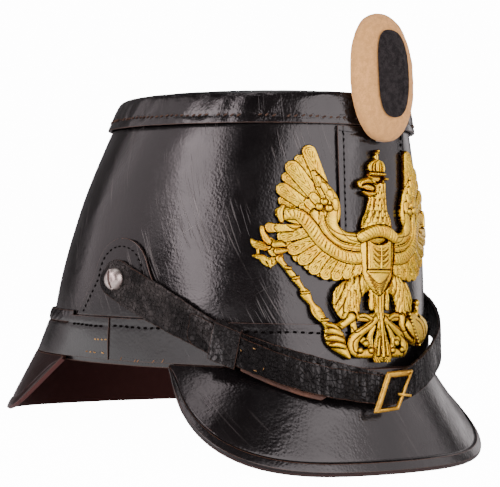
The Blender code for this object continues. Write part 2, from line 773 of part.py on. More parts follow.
def super_oval(width, height, power, count):
    """Points of a full-sided oval in the XZ plane."""
    ring = []
    for t in spread(0.0, 2 * math.pi, count + 1)[:-1]:
        c, s = math.cos(t), math.sin(t)
        ring.append((math.copysign(abs(c) ** (2 / power), c) * width / 2,
                     math.copysign(abs(s) ** (2 / power), s) * height / 2))
    return ring


def dome_height(x, z):
    """Height of the badge's dome over its back plane."""
    share = (abs(x) * 2 / BADGE_SIZE[0]) ** 2.2 + (abs(z) * 2 / BADGE_SIZE[1]) ** 2.2
    return BADGE_EDGE + (BADGE_DOME - BADGE_EDGE) * max(1 - share, 0.0) ** 0.5


def make_badge():
    """The cloth-covered oval dome of the badge."""
    place = badge_place()
    outline = super_oval(*BADGE_SIZE, 2.25, 32)
    rings = [[place @ Vector((x * k, -dome_height(x * k, z * k), z * k)) for x, z in outline]
             for k in (1.0, 0.98, 0.9, 0.74, 0.42)]
    back = [[place @ Vector((x, 0.0, z)) for x, z in outline]]
    return lens("badge_body", CREAM_WOOL, rings, back,
                place @ Vector((0.0, -BADGE_DOME, 0.0)), place @ Vector((0.0, 0.0, 0.0)))


def make_badge_heart():
    """The black cloth oval in the middle of the badge."""
    place = badge_place()
    outline = super_oval(*BADGE_HEART_SIZE, 2.7, 24)

    def rings(lift):
        return [[place @ Vector((x * k, -dome_height(x * k, z * k + BADGE_HEART_RAISE)
                                 - lift, z * k + BADGE_HEART_RAISE)) for x, z in outline]
                for k in (1.0, 0.5)]

    def centre(lift):
        height = dome_height(0.0, BADGE_HEART_RAISE) + lift
        return place @ Vector((0.0, -height, BADGE_HEART_RAISE))

    top = GAP + BADGE_HEART_WALL
    return lens("badge_centre", BLACK_WOOL, rings(top), rings(GAP), centre(top), centre(GAP))


def make_badge_prong():
    """The flat prong behind the foot of the badge."""
    width, thick, length = PRONG_SIZE
    place = badge_place()
    low = 0.4 - BADGE_SIZE[1] / 2
    top = place @ Vector((0.0, GAP + thick / 2, low + length))
    foot = place @ Vector((0.0, GAP + thick / 2, low))
    points, faces = beam(foot, top, width, thick, Vector((0, -1, 0)))
    return new_object("badge_prong", STEEL, points, faces)


# ---------------------------------------------------------------- eagle plate

class Strip(NamedTuple):
    """A raised strip of the plate: its middle line with half widths, and its height.

    Points are (across, up, half width); across is measured from the plate's middle line,
    outwards on the strips that are mirrored.  A keel gives the strip a ridge.
    """
    points: tuple
    height: float
    keel: bool = True
    mirrored: bool = True
    steps: int = 2


class Feather(NamedTuple):
    """A feather: root and tip on the plate, and its half width."""
    root: tuple
    tip: tuple
    half_width: float


FEATHERS = (
    Feather((25.0, 80.0), (34.2, 103.2), 3.2),
    Feather((27.4, 77.2), (39.4, 97.6), 2.6),
    Feather((28.0, 76.0), (43.2, 95.4), 3.0),
    Feather((29.0, 73.5), (45.6, 89.2), 2.5),
    Feather((30.0, 71.0), (48.3, 84.6), 2.9),
    Feather((30.0, 69.0), (47.6, 77.8), 2.4),
    Feather((30.0, 67.0), (49.8, 72.8), 2.9),
    Feather((30.0, 64.0), (49.4, 59.8), 2.8),
    Feather((28.0, 61.0), (45.0, 53.8), 2.8),
    Feather((26.0, 58.0), (40.4, 48.8), 2.8),
    Feather((23.0, 57.0), (34.9, 44.0), 2.7),
    Feather((20.0, 55.0), (29.6, 42.2), 2.3),
    Feather((17.0, 54.0), (24.8, 40.8), 2.7),
    Feather((14.0, 52.0), (19.0, 42.0), 2.3),
    Feather((11.0, 50.0), (14.6, 41.6), 2.4),
)

STRIPS = (
    # wing: arm, coverts and the ribbon that crosses it
    Strip(((32.0, 91.0, 1.6), (28.0, 84.8, 3.0), (23.5, 78.6, 4.1), (22.8, 72.4, 3.9),
           (24.2, 66.0, 3.3), (18.6, 60.6, 3.1), (9.0, 59.4, 3.8)), 3.2),
    Strip(((36.0, 83.0, 2.4), (31.8, 74.0, 5.4), (27.4, 66.0, 5.4), (20.0, 58.4, 4.2),
           (9.0, 56.0, 4.0)), 2.3, True, True, 1),
    Strip(((45.8, 70.6, 2.5), (41.6, 71.4, 2.8), (37.2, 69.2, 3.2), (33.0, 64.4, 3.3),
           (29.0, 59.2, 3.2), (24.0, 54.6, 3.1), (17.0, 51.6, 3.1), (7.0, 51.6, 3.1)),
          2.9, False, True, 1),
    Strip(((41.0, 69.0, 2.0), (47.0, 65.4, 2.9), (51.8, 64.8, 2.3)), 2.5, False, True, 1),
    # thigh
    Strip(((4.0, 41.6, 4.2), (12.2, 37.8, 5.0), (17.2, 33.0, 7.0), (17.4, 28.0, 6.2),
           (16.4, 23.4, 2.8)), 3.6, True, True, 1),
    # tail scrolls
    Strip(((1.4, 24.4, 1.3), (6.0, 23.6, 1.3), (13.0, 23.9, 1.5)), 2.2, True, True, 1),
    Strip(((2.0, 23.8, 1.2), (5.2, 20.8, 1.4), (8.6, 18.6, 1.5), (12.2, 16.4, 1.9),
           (15.4, 13.4, 2.1), (16.4, 9.8, 2.2), (13.6, 6.9, 1.8)), 2.6, True, True, 1),
    Strip(((14.6, 15.6, 1.3), (15.0, 19.6, 1.2), (15.8, 22.8, 1.6)), 2.0, True, True, 1),
    Strip(((14.0, 6.6, 1.5), (8.0, 7.2, 1.7), (2.0, 7.3, 1.9)), 2.3, True, True, 1),
    Strip(((12.6, 14.8, 1.0), (9.6, 12.6, 1.5)), 2.1, True, True, 1),
    # body, neck, head, crown and tail on the middle line
    Strip(((0.0, 72.0, 5.8), (0.0, 65.0, 9.6), (0.0, 57.0, 10.8), (0.0, 48.0, 9.8),
           (0.0, 44.0, 8.6), (0.0, 34.2, 0.8)), 4.0, True, False, 1),
    Strip(((0.0, 45.2, 7.2), (0.0, 59.2, 7.8)), 4.7, False, False, 1),
    Strip(((-10.6, 61.8, 3.0), (-5.4, 63.9, 3.3), (0.0, 64.7, 3.3), (5.4, 63.9, 3.3),
           (10.6, 61.8, 3.0)), 4.7, False, False, 1),
    Strip(((0.0, 66.0, 8.2), (0.0, 70.0, 6.2), (0.0, 78.0, 5.1), (0.2, 84.0, 5.4),
           (0.0, 90.0, 5.2)), 4.2, True, False, 1),
    Strip(((4.6, 86.8, 3.0), (-3.0, 87.2, 3.0), (-7.6, 86.9, 2.2), (-10.0, 85.2, 1.1),
           (-10.0, 83.8, 0.6)), 4.7, True, False, 1),
    Strip(((-2.0, 82.6, 1.9), (-6.0, 82.0, 1.5), (-8.2, 81.6, 0.8)), 3.8, True, False, 1),
    Strip(((0.0, 88.8, 4.6), (0.0, 92.4, 5.2), (0.0, 96.6, 6.6), (0.0, 98.6, 5.2),
           (0.0, 99.4, 2.2)), 3.5, True, False, 1),
    Strip(((-5.2, 91.4, 1.0), (5.2, 91.4, 1.0)), 4.0, True, False, 1),
    Strip(((0.0, 98.8, 1.3), (0.0, 100.4, 1.8), (0.0, 102.2, 1.2)), 2.8, True, False, 1),
    Strip(((0.0, 38.0, 5.0), (0.0, 30.0, 4.2), (0.0, 25.0, 3.0), (0.0, 22.6, 1.9),
           (0.0, 16.0, 2.6), (0.0, 9.6, 4.0), (0.0, 5.4, 3.2)), 3.2, True, False, 1),
    # shank, claws and sceptre on the wearer's right
    Strip(((-15.4, 24.6, 2.6), (-19.0, 21.4, 1.9), (-25.4, 17.4, 2.4)), 2.8, True, False, 1),
    Strip(((-48.6, 49.4, 1.7), (-41.4, 41.0, 1.8), (-38.6, 36.8, 1.6), (-37.4, 34.4, 2.3),
           (-34.6, 29.8, 1.7), (-32.0, 25.8, 2.7), (-29.2, 21.2, 2.0), (-26.6, 18.4, 3.0),
           (-24.8, 14.2, 5.0), (-22.8, 10.4, 3.6), (-19.8, 6.8, 2.0), (-18.2, 4.8, 1.0)),
          3.2, True, False, 1),
    Strip(((-47.8, 48.6, 1.8), (-50.8, 52.0, 3.8), (-54.0, 56.6, 4.2), (-55.8, 60.8, 2.4),
           (-57.2, 64.0, 0.9)), 3.0, True, False, 1),
    Strip(((-51.0, 50.6, 2.4), (-56.0, 50.0, 2.2), (-60.0, 51.2, 1.2)), 2.5, True, False, 1),
    Strip(((-54.0, 55.4, 2.4), (-57.6, 57.0, 1.8), (-60.2, 58.2, 0.9)), 2.4, True, False, 1),
    # claws and orb on the wearer's left
    Strip(((14.6, 24.4, 2.6), (13.4, 19.6, 1.7), (16.8, 14.8, 1.7), (20.6, 12.4, 1.6)),
          3.6, True, False, 1),
    Strip(((17.2, 20.4, 1.6), (19.6, 18.4, 6.2), (23.4, 17.8, 8.0), (28.4, 17.8, 8.0),
           (32.2, 18.2, 5.8), (33.8, 18.6, 2.0)), 4.6, True, False, 1),
    Strip(((27.4, 24.6, 2.2), (28.8, 28.2, 2.4), (29.4, 30.6, 1.2)), 3.2, True, False, 1),
)


def curve_through(points, steps):
    """Points of a smooth curve through the given (x, y, half width) rows."""
    rows = [(i, *p) for i, p in enumerate(points)]
    last = len(points) - 1
    return [tuple(table(rows, i / steps, c) for c in (1, 2, 3))
            for i in range(last * steps + 1)]


def strip_solid(route, height, keel, sink):
    """Points and faces of one strip: flat at the back, with an optional ridge."""
    shoulder = 0.5 if keel else 1.0
    points, faces = [], []
    for i, (x, y, half) in enumerate(route):
        before, after = route[max(i - 1, 0)], route[min(i + 1, len(route) - 1)]
        along = Vector((after[0] - before[0], after[1] - before[1])).normalized()
        side = Vector((-along.y, along.x)) * half
        edge = EAGLE_SHEET + (height - EAGLE_SHEET) * shoulder * 0.7 if keel else height
        points.append((x - side.x, y - side.y, sink))
        points.append((x - side.x, y - side.y, edge))
        if keel:
            points.append((x, y, height))
        points.append((x + side.x, y + side.y, edge))
        points.append((x + side.x, y + side.y, sink))
    n = 5 if keel else 4
    for i in range(len(route) - 1):
        a, b = i * n, (i + 1) * n
        faces.extend((a + j, a + (j + 1) % n, b + (j + 1) % n, b + j) for j in range(n))
    faces.append(tuple(range(n)))
    faces.append(tuple(range((len(route) - 1) * n, len(route) * n)))
    return points, faces


def feather_route(feather):
    """The middle line of a feather with a rounded tip."""
    root, tip = Vector(feather.root), Vector(feather.tip)
    length = (tip - root).length
    half = feather.half_width
    # each row: distance back from the tip, half width
    shape = ((length, half * 0.8), (half * 1.1, half), (half * 0.3, half * 0.66),
             (0.0, half * 0.2))
    return [(*(tip + (root - tip) * (back / length)), width) for back, width in shape]


def eagle_strips():
    """Every strip of the plate as (route, height, keel) on the flat."""
    made = []
    for k, feather in enumerate(FEATHERS):
        for side in (-1, 1):
            route = [(x * side, y, w) for x, y, w in feather_route(feather)]
            made.append((route, 2.0 + 0.07 * (k % 5), True))
    for strip in STRIPS:
        for side in ((-1, 1) if strip.mirrored else (1,)):
            route = curve_through(strip.points, strip.steps)
            made.append(([(x * side, y, w) for x, y, w in route], strip.height, strip.keel))
    return made


def bend_over_crown(point):
    """Lay a point of the flat plate on the front of the crown."""
    x, height = point.x, point.y
    if x > 0:
        # the wing on the wearer's left is bent inwards, most at its tips
        lean = 1.6 * smooth((height - 62.0) / 8.0) + 0.3 * max(height - 80.0, 0.0)
        x -= lean * smooth((x - 8.0) / 8.0)
    tuck = smooth((abs(x + EAGLE_SHIFT) - PANEL_HALF_WIDTH - 2.5) / 8.0)
    out = EAGLE_STAND_OFF + (EAGLE_WING_STAND_OFF - EAGLE_STAND_OFF) * tuck
    # the foot of the plate stands clear of the head band
    foot = min(max((EAGLE_FOOT_Z[1] - height) / (EAGLE_FOOT_Z[1] - EAGLE_FOOT_Z[0]), 0.0), 1.0)
    out += (EAGLE_FOOT_STAND_OFF - out) * foot
    return on_crown(angle_at_arc(x + EAGLE_SHIFT, height), height, out + point.z)


def make_eagle():
    """The pierced, raised plate: strips united on the flat, then bent over the crown."""
    strips = eagle_strips()
    group = bpy.data.collections.new("eagle_strips")
    pieces = []
    for k, (route, height, keel) in enumerate(strips):
        points, faces = strip_solid(route, height, keel, 0.011 * (k % 23))
        pieces.append(new_object("eagle_strip_{:03d}".format(k), GILT, points, faces))
    first = pieces[0]
    for piece in pieces[1:]:
        group.objects.link(piece)
    union = first.modifiers.new("union", 'BOOLEAN')
    union.operation = 'UNION'
    union.solver = 'EXACT'
    union.operand_type = 'COLLECTION'
    union.collection = group
    bpy.context.view_layer.update()
    united = first.evaluated_get(bpy.context.evaluated_depsgraph_get())
    mesh = bpy.data.meshes.new_from_object(united)
    for piece in pieces:
        bpy.data.objects.remove(piece)
    bpy.data.collections.remove(group)
    mesh.name = "eagle_plate"
    body = bmesh.new()
    body.from_mesh(mesh)
    bmesh.ops.dissolve_limit(body, angle_limit=math.radians(6.0), verts=body.verts,
                             edges=body.edges)
    reach = 70.0
    for x in spread(-reach + 5.0, reach - 5.0, int(2 * (reach - 5.0) / EAGLE_CUT) + 1):
        geometry = body.verts[:] + body.edges[:] + body.faces[:]
        bmesh.ops.bisect_plane(body, geom=geometry, dist=0.001 * MM,
                               plane_co=(x * MM, 0, 0), plane_no=(1, 0, 0))
    for height in EAGLE_FOOT_Z:
        geometry = body.verts[:] + body.edges[:] + body.faces[:]
        bmesh.ops.bisect_plane(body, geom=geometry, dist=0.001 * MM,
                               plane_co=(0, height * MM, 0), plane_no=(0, 1, 0))
    bmesh.ops.triangulate(body, faces=body.faces)
    for vert in body.verts:
        vert.co = bend_over_crown(vert.co / MM) * MM
    bmesh.ops.recalc_face_normals(body, faces=body.faces)
    body.to_mesh(mesh)
    body.free()
    mesh.shade_smooth()
    mesh.set_sharp_from_angle(angle=math.radians(35))
    made = bpy.data.objects.new("eagle_plate", mesh)
    bpy.context.scene.collection.objects.link(made)
    return made


# ---------------------------------------------------------------- assembly

def clear_scene():
    """Remove whatever the file opened with."""
    for old in list(bpy.data.objects):
        bpy.data.objects.remove(old)


def stand_on_visors(pieces):
    """Tip the hat back onto both visors and centre its box on the origin."""
    edges = []
    for name in (FRONT_VISOR.name, REAR_VISOR.name):
        mesh = bpy.data.objects[name].data
        edges.append([v.co.copy() for v in mesh.vertices])
    tip = 0.0
    for _ in range(6):
        turn = Matrix.Rotation(tip, 3, 'X')
        front, rear = (min((turn @ p for p in edge), key=lambda p: p.z) for edge in edges)
        tip -= math.atan2(rear.z - front.z, rear.y - front.y)
    turn = Matrix.Rotation(tip, 4, 'X')
    corners = [turn @ v.co for piece in pieces for v in piece.data.vertices]
    low = [min(p[i] for p in corners) for i in range(3)]
    high = [max(p[i] for p in corners) for i in range(3)]
    rest = bpy.data.objects.new("rest_pose", None)
    bpy.context.scene.collection.objects.link(rest)
    rest.matrix_world = Matrix.Translation((-(low[0] + high[0]) / 2,
                                            -(low[1] + high[1]) / 2, -low[2])) @ turn
    for piece in list(bpy.data.objects):
        if piece is not rest:
            piece.parent = rest


def main():
    """Model every piece, then stand the hat on its visors."""
    clear_scene()
    pieces = [
        make_crown(),
        make_lid(),
        make_front_band(),
        make_rear_band(),
        make_rear_edge(),
        make_panel(),
        make_tab("side_tab_right", -1),
        make_tab("side_tab_left", 1),
        make_visor(FRONT_VISOR),
        make_visor(REAR_VISOR),
        make_strap("strap_near", STRAP_LEATHER, STRAP_WALL, (NEAR_STRAP, STRAP_LIE)),
        make_strap("strap_upper", STRAP_LEATHER, STRAP_WALL, (UPPER_STRAP, STRAP_LIE),
                   (FAR_STRAP, FAR_LIE)),
        make_strap("strap_tongue", BROWN_LEATHER, TONGUE_WALL, (TONGUE, STRAP_LIE)),
        make_keeper(),
        make_buckle(),
        make_buckle_prong(),
        make_screw("strap_screw_right", -1),
        make_screw("strap_screw_left", 1),
        make_badge(),
        make_badge_heart(),
        make_badge_prong(),
        make_eagle(),
    ]
    stand_on_visors(pieces)


main()
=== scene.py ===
"""The looks of the black leather shako: leather, stitching, badge cloth and the raised eagle.

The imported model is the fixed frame.  Leather pieces are finer copies of their solids, the eagle
is carved anew as a relief over its own solid, and threads, holes and fibres are added where the
leather carries them.  Sizes are in millimetres in the hat's own frame (the wearer looks along -Y,
the wearer's right is -X, Z = 0 is the lower edge of the head band), which stands tipped back on
its two visors.
"""

from __future__ import annotations

import logging
import math
from dataclasses import dataclass, field, replace
from enum import Enum
from functools import partial
from typing import Callable, Iterable, NamedTuple, Sequence

import bpy
import numpy as np
from mathutils import Matrix, Vector
from mathutils.bvhtree import BVHTree


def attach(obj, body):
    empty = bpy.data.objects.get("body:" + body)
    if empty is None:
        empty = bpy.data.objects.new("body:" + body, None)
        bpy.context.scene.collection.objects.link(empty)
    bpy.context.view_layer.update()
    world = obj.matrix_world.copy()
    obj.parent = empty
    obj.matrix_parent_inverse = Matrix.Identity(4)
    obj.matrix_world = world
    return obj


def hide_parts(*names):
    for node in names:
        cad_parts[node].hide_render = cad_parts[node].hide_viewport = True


Array = np.ndarray
Piece = bpy.types.Object
Mesh = bpy.types.Mesh
Node = bpy.types.Node
NodeTree = bpy.types.NodeTree
Out = bpy.types.NodeSocket

LOG = logging.getLogger("shako")
MM = 0.001
WHITE = (1.0, 1.0, 1.0, 1.0)
BODY = "root"

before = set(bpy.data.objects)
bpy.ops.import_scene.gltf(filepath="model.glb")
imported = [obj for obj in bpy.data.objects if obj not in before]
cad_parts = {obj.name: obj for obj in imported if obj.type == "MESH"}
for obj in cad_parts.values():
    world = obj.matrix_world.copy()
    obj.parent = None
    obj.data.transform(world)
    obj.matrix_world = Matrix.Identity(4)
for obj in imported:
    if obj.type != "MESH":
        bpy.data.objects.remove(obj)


# ---------- the hat's own frame

@dataclass(frozen=True)
class CrownForm:
    """The crown's three ovals (half length, half width, centre Y) and how the hat stands."""

    base: tuple = (106.0, 88.0, 0.0)
    waist: tuple = (92.9, 87.4, -7.8)
    rim: tuple = (81.3, 70.5, -16.4)
    rim_z: float = 113.0
    tip: float = math.radians(-3.347)
    rest: tuple = (0.0, 1.621, 41.435)
    unwrap_radius: float = 95.0
    unwrap_heights: tuple = (-40.0, 130.0)

    def oval(self, z: Array) -> tuple:
        """Half length, half width and centre Y at height z."""
        t = np.asarray(z, float) / self.rim_z
        weights = (2 * (t - 0.5) * (t - 1), -4 * t * (t - 1), 2 * t * (t - 0.5))
        return tuple(sum(w * o[k] for w, o in zip(weights, (self.base, self.waist, self.rim)))
                     for k in range(3))

    def place(self, angle: Array, z: Array, out: Array = 0.0) -> Array:
        """Points on the crown, in metres, as the hat stands.

        Args:
            angle: angle from the front centre towards the wearer's left.
            z: height in the hat's frame.
            out: distance out from the crown's leather.

        Returns:
            An array of points with one row each.
        """
        angle, z, out = np.broadcast_arrays(np.asarray(angle, float), z, out)
        length, width, centre = self.oval(z)
        normal = np.stack([np.sin(angle) / width, -np.cos(angle) / length], -1)
        normal /= np.linalg.norm(normal, axis=-1, keepdims=True)
        spot = np.stack([width * np.sin(angle) + normal[..., 0] * out,
                         centre - length * np.cos(angle) + normal[..., 1] * out, z], -1)
        return self.stand(spot)

    def stand(self, spot: Array) -> Array:
        """Turn points of the hat's frame into standing points in metres."""
        c, s = math.cos(self.tip), math.sin(self.tip)
        x, y, z = spot[..., 0], spot[..., 1], spot[..., 2]
        turned = np.stack([x, c * y - s * z, s * y + c * z], -1)
        return (turned + np.array(self.rest)) * MM

    def unstand(self, spot: Array) -> Array:
        """Turn standing points in metres into the hat's frame."""
        c, s = math.cos(self.tip), math.sin(self.tip)
        moved = spot / MM - np.array(self.rest)
        x, y, z = moved[..., 0], moved[..., 1], moved[..., 2]
        return np.stack([x, c * y + s * z, -s * y + c * z], -1)

    def unwrap(self, spot: Array) -> tuple:
        """Angle and height of standing points."""
        own = self.unstand(spot)
        length, width, centre = self.oval(np.clip(own[..., 2], *self.unwrap_heights))
        angle = np.arctan2(own[..., 0] / width, -(own[..., 1] - centre) / length)
        return angle, own[..., 2]

    def laid_out(self, spot: Array) -> tuple:
        """Angle, way round the crown and height of standing points."""
        angle, z = self.unwrap(spot)
        return angle, angle * self.unwrap_radius, z

    def angle_at_arc(self, distance: Array, z: Array, steps: int = 24) -> Array:
        """Angle after walking a distance round the crown at height z."""
        length, width, _ = self.oval(z)
        angle = np.zeros(np.broadcast(distance, z).shape)
        for _ in range(steps):
            speed = np.hypot(width * np.cos(angle), length * np.sin(angle))
            angle = angle + distance / steps / speed
        return angle


CROWN = CrownForm()


def smooth(t: Array) -> Array:
    """Ease from 0 to 1."""
    t = np.clip(t, 0.0, 1.0)
    return t * t * (3.0 - 2.0 * t)


def bell(distance: Array, width: float) -> Array:
    """A soft ridge about 0."""
    return np.exp(-(distance / width) ** 2)


# ---------- shader groups

class Socket(Enum):
    """Socket types of a node group's interface."""

    NUMBER = "NodeSocketFloat"
    VECTOR = "NodeSocketVector"


class Tree:
    """A small helper that places and joins nodes."""

    def __init__(self, tree: NodeTree) -> None:
        """Wrap a node tree."""
        self.tree = tree

    def add(self, kind: str, **values: object) -> Node:
        """Add a node and set its properties.

        Args:
            kind: the node's type name.
            values: properties of the node.

        Returns:
            The new node.
        """
        node = self.tree.nodes.new(kind)
        for name, value in values.items():
            setattr(node, name, value)
        return node

    def feed(self, socket: Out, value: object) -> None:
        """Join a socket to another socket, or set its value."""
        if isinstance(value, Out):
            self.tree.links.new(value, socket)
        else:
            socket.default_value = value

    def fill(self, node: Node, values: dict) -> None:
        """Feed several sockets of a node by their names."""
        for name, value in values.items():
            self.feed(node.inputs[name], value)

    def noise(self, vector: object, scale: float, detail: float = 3.0,
              roughness: float = 0.55) -> Out:
        """A noise texture's value."""
        node = self.add("ShaderNodeTexNoise")
        self.fill(node, {"Vector": vector, "Scale": scale, "Detail": detail,
                         "Roughness": roughness})
        return node.outputs["Fac"]

    def cells(self, vector: object, scale: object, feature: str = "DISTANCE_TO_EDGE") -> Out:
        """A Voronoi texture's distance."""
        node = self.add("ShaderNodeTexVoronoi", feature=feature)
        self.fill(node, {"Vector": vector, "Scale": scale})
        return node.outputs["Distance"]

    def spread(self, value: object, low: object, high: object, start: object = 0.0,
               end: object = 1.0) -> Out:
        """Map a range smoothly onto another one."""
        node = self.add("ShaderNodeMapRange", interpolation_type="SMOOTHSTEP")
        self.fill(node, {"Value": value, "From Min": low, "From Max": high, "To Min": start,
                         "To Max": end})
        return node.outputs["Result"]

    def math(self, operation: str, first: object, second: object = 0.0) -> Out:
        """A math node's result."""
        node = self.add("ShaderNodeMath", operation=operation)
        self.feed(node.inputs[0], first)
        self.feed(node.inputs[1], second)
        return node.outputs[0]

    def scaled_sum(self, value: object, factor: object, more: object) -> Out:
        """A value times a factor, plus another value."""
        result = self.math("MULTIPLY_ADD", value, factor)
        self.feed(result.node.inputs[2], more)
        return result

    def mix(self, share: object, first: object, second: object) -> Out:
        """Blend two colours, each a socket or three plain numbers."""
        node = self.add("ShaderNodeMix", data_type="RGBA")
        self.feed(node.inputs["Factor"], share)
        for name, colour in (("A", first), ("B", second)):
            plain = isinstance(colour, tuple)
            self.feed(node.inputs[name], (*colour, 1.0) if plain else colour)
        return node.outputs["Result"]

    def measured(self, name: str) -> Out:
        """A number that the mesh carries at each vertex."""
        return self.add("ShaderNodeAttribute", attribute_name=name).outputs["Fac"]

    def turned(self, vector: object, angle: float, scale: tuple) -> Out:
        """A pattern's vector, turned about Z and scaled."""
        turn = self.add("ShaderNodeMapping")
        self.fill(turn, {"Vector": vector, "Rotation": (0.0, 0.0, angle)})
        size = self.add("ShaderNodeMapping")
        self.fill(size, {"Vector": turn.outputs["Vector"], "Scale": scale})
        return size.outputs["Vector"]

    def bump(self, height: object, strength: float, distance: float, normal: object = None) -> Out:
        """A bump node's normal."""
        node = self.add("ShaderNodeBump")
        self.fill(node, {"Height": height, "Strength": strength, "Distance": distance})
        if normal is not None:
            self.feed(node.inputs["Normal"], normal)
        return node.outputs["Normal"]

    def group(self, tree: NodeTree, **values: object) -> Node:
        """Place a node group with its inputs set."""
        node = self.add("ShaderNodeGroup", node_tree=tree)
        self.fill(node, values)
        return node


def new_group(name: str, inputs: Sequence[tuple], outputs: Sequence[tuple]) -> tuple:
    """Start a node group.

    Args:
        name: the group's name.
        inputs: rows of socket name, Socket and default value.
        outputs: rows of socket name and Socket.

    Returns:
        The tree, its helper, its input node and its output node.
    """
    tree = bpy.data.node_groups.new(name, "ShaderNodeTree")
    for label, kind, value in inputs:
        socket = tree.interface.new_socket(label, in_out="INPUT", socket_type=kind.value)
        if value is not None:
            socket.default_value = value
    for label, kind in outputs:
        tree.interface.new_socket(label, in_out="OUTPUT", socket_type=kind.value)
    helper = Tree(tree)
    return tree, helper, helper.add("NodeGroupInput"), helper.add("NodeGroupOutput")


class Effects:
    """The shader groups that several finishes share, each made once."""

    # slant in degrees, lines per metre across and along, threshold
    scratch_sets = ((-32.0, 900.0, 14.0, 0.635), (-26.0, 1500.0, 26.0, 0.665),
                    (58.0, 700.0, 22.0, 0.70))
    scratch_edge = 0.05
    crack_wander = (0.003, 0.003, 0.003)
    patch_edge = 0.12
    wear_edge = 0.3

    def __init__(self) -> None:
        """Build the groups."""
        self.scratches = self.make_scratches()
        self.crazing = self.make_crazing()
        self.grain = self.make_grain()
        self.wear = self.make_wear()

    def make_scratches(self) -> NodeTree:
        """Fine slanting scratches in broken streaks."""
        tree, t, given, out = new_group(
            "Scratches", [("Vector", Socket.VECTOR, None), ("Amount", Socket.NUMBER, 0.5)],
            [("Mask", Socket.NUMBER)])
        vector = given.outputs["Vector"]
        total = None
        for slant, fine, long, edge in self.scratch_sets:
            lines = t.noise(t.turned(vector, math.radians(slant), (fine, long, 1.0)), 1.0, 1.0)
            mask = t.spread(lines, edge, edge + self.scratch_edge)
            total = mask if total is None else t.math("MAXIMUM", total, mask)
        patch = t.spread(t.noise(vector, 26.0, 2.0), 0.46, 0.62)
        shown = t.math("MULTIPLY", total, patch)
        t.feed(out.inputs["Mask"], t.math("MULTIPLY", shown, given.outputs["Amount"]))
        return tree

    def make_crazing(self) -> NodeTree:
        """Crazed lacquer: a net of fine cracks in patches."""
        tree, t, given, out = new_group(
            "Crazing", [("Vector", Socket.VECTOR, None), ("Scale", Socket.NUMBER, 500.0),
                        ("Width", Socket.NUMBER, 0.08), ("Cover", Socket.NUMBER, 0.5)],
            [("Cracks", Socket.NUMBER)])
        vector = given.outputs["Vector"]
        shift = t.add("ShaderNodeTexNoise")
        t.feed(shift.inputs["Vector"], vector)
        shift.inputs["Scale"].default_value = 180.0
        moved = t.add("ShaderNodeVectorMath", operation="MULTIPLY_ADD")
        t.feed(moved.inputs[0], shift.outputs["Color"])
        moved.inputs[1].default_value = self.crack_wander
        t.feed(moved.inputs[2], vector)
        edge = t.cells(moved.outputs[0], given.outputs["Scale"])
        net = t.spread(edge, 0.0, given.outputs["Width"], 1.0, 0.0)
        level = t.math("SUBTRACT", 1.0, given.outputs["Cover"])
        patch = t.spread(t.noise(vector, 45.0, 2.0), t.math("SUBTRACT", level, self.patch_edge),
                         level)
        t.feed(out.inputs["Cracks"], t.math("MULTIPLY", net, patch))
        return tree

    def make_grain(self) -> NodeTree:
        """Pebbled leather grain over slow unevenness."""
        tree, t, given, out = new_group(
            "Leather Grain", [("Vector", Socket.VECTOR, None), ("Scale", Socket.NUMBER, 950.0)],
            [("Height", Socket.NUMBER)])
        vector = given.outputs["Vector"]
        pebble = t.cells(vector, given.outputs["Scale"], "SMOOTH_F1")
        slow = t.noise(vector, 120.0, 4.0)
        t.feed(out.inputs["Height"], t.scaled_sum(slow, 0.8, t.math("MULTIPLY", pebble, 0.35)))
        return tree

    def make_wear(self) -> NodeTree:
        """Rubbed edges: the mesh's edge measure, broken up."""
        tree, t, given, out = new_group(
            "Edge Wear", [("Vector", Socket.VECTOR, None), ("Start", Socket.NUMBER, 0.3),
                          ("Break", Socket.NUMBER, 0.4)], [("Mask", Socket.NUMBER)])
        broken = t.noise(given.outputs["Vector"], 260.0, 4.0, 0.65)
        lowered = t.math("MULTIPLY", t.math("SUBTRACT", broken, 0.5), given.outputs["Break"])
        value = t.math("ADD", t.measured("edge"), lowered)
        start = given.outputs["Start"]
        t.feed(out.inputs["Mask"], t.spread(value, start, t.math("ADD", start, self.wear_edge)))
        return tree


# ---------- finishes

@dataclass(frozen=True)
class Finish:
    """A material's name and a slot name that nothing uses; its kinds know how to build it."""

    name: str
    slot: str

    def material(self, effects: Effects) -> bpy.types.Material:
        """Return the finish's material, making it once."""
        found = bpy.data.materials.get(self.name)
        if found:
            return found
        made = bpy.data.materials.new(self.name)
        made.use_nodes = True
        shader = made.node_tree.nodes["Principled BSDF"]
        self.build(Tree(made.node_tree), shader, effects)
        return made

    def build(self, t: Tree, shader: Node, effects: Effects) -> None:
        """Join the finish's nodes to the shader."""
        raise NotImplementedError


def surface_vector(t: Tree, own: bool = True) -> Out:
    """The vector that patterns follow: the piece's own UV map, or Object coordinates."""
    node = t.add("ShaderNodeTexCoord")
    return node.outputs["UV" if own else "Object"]


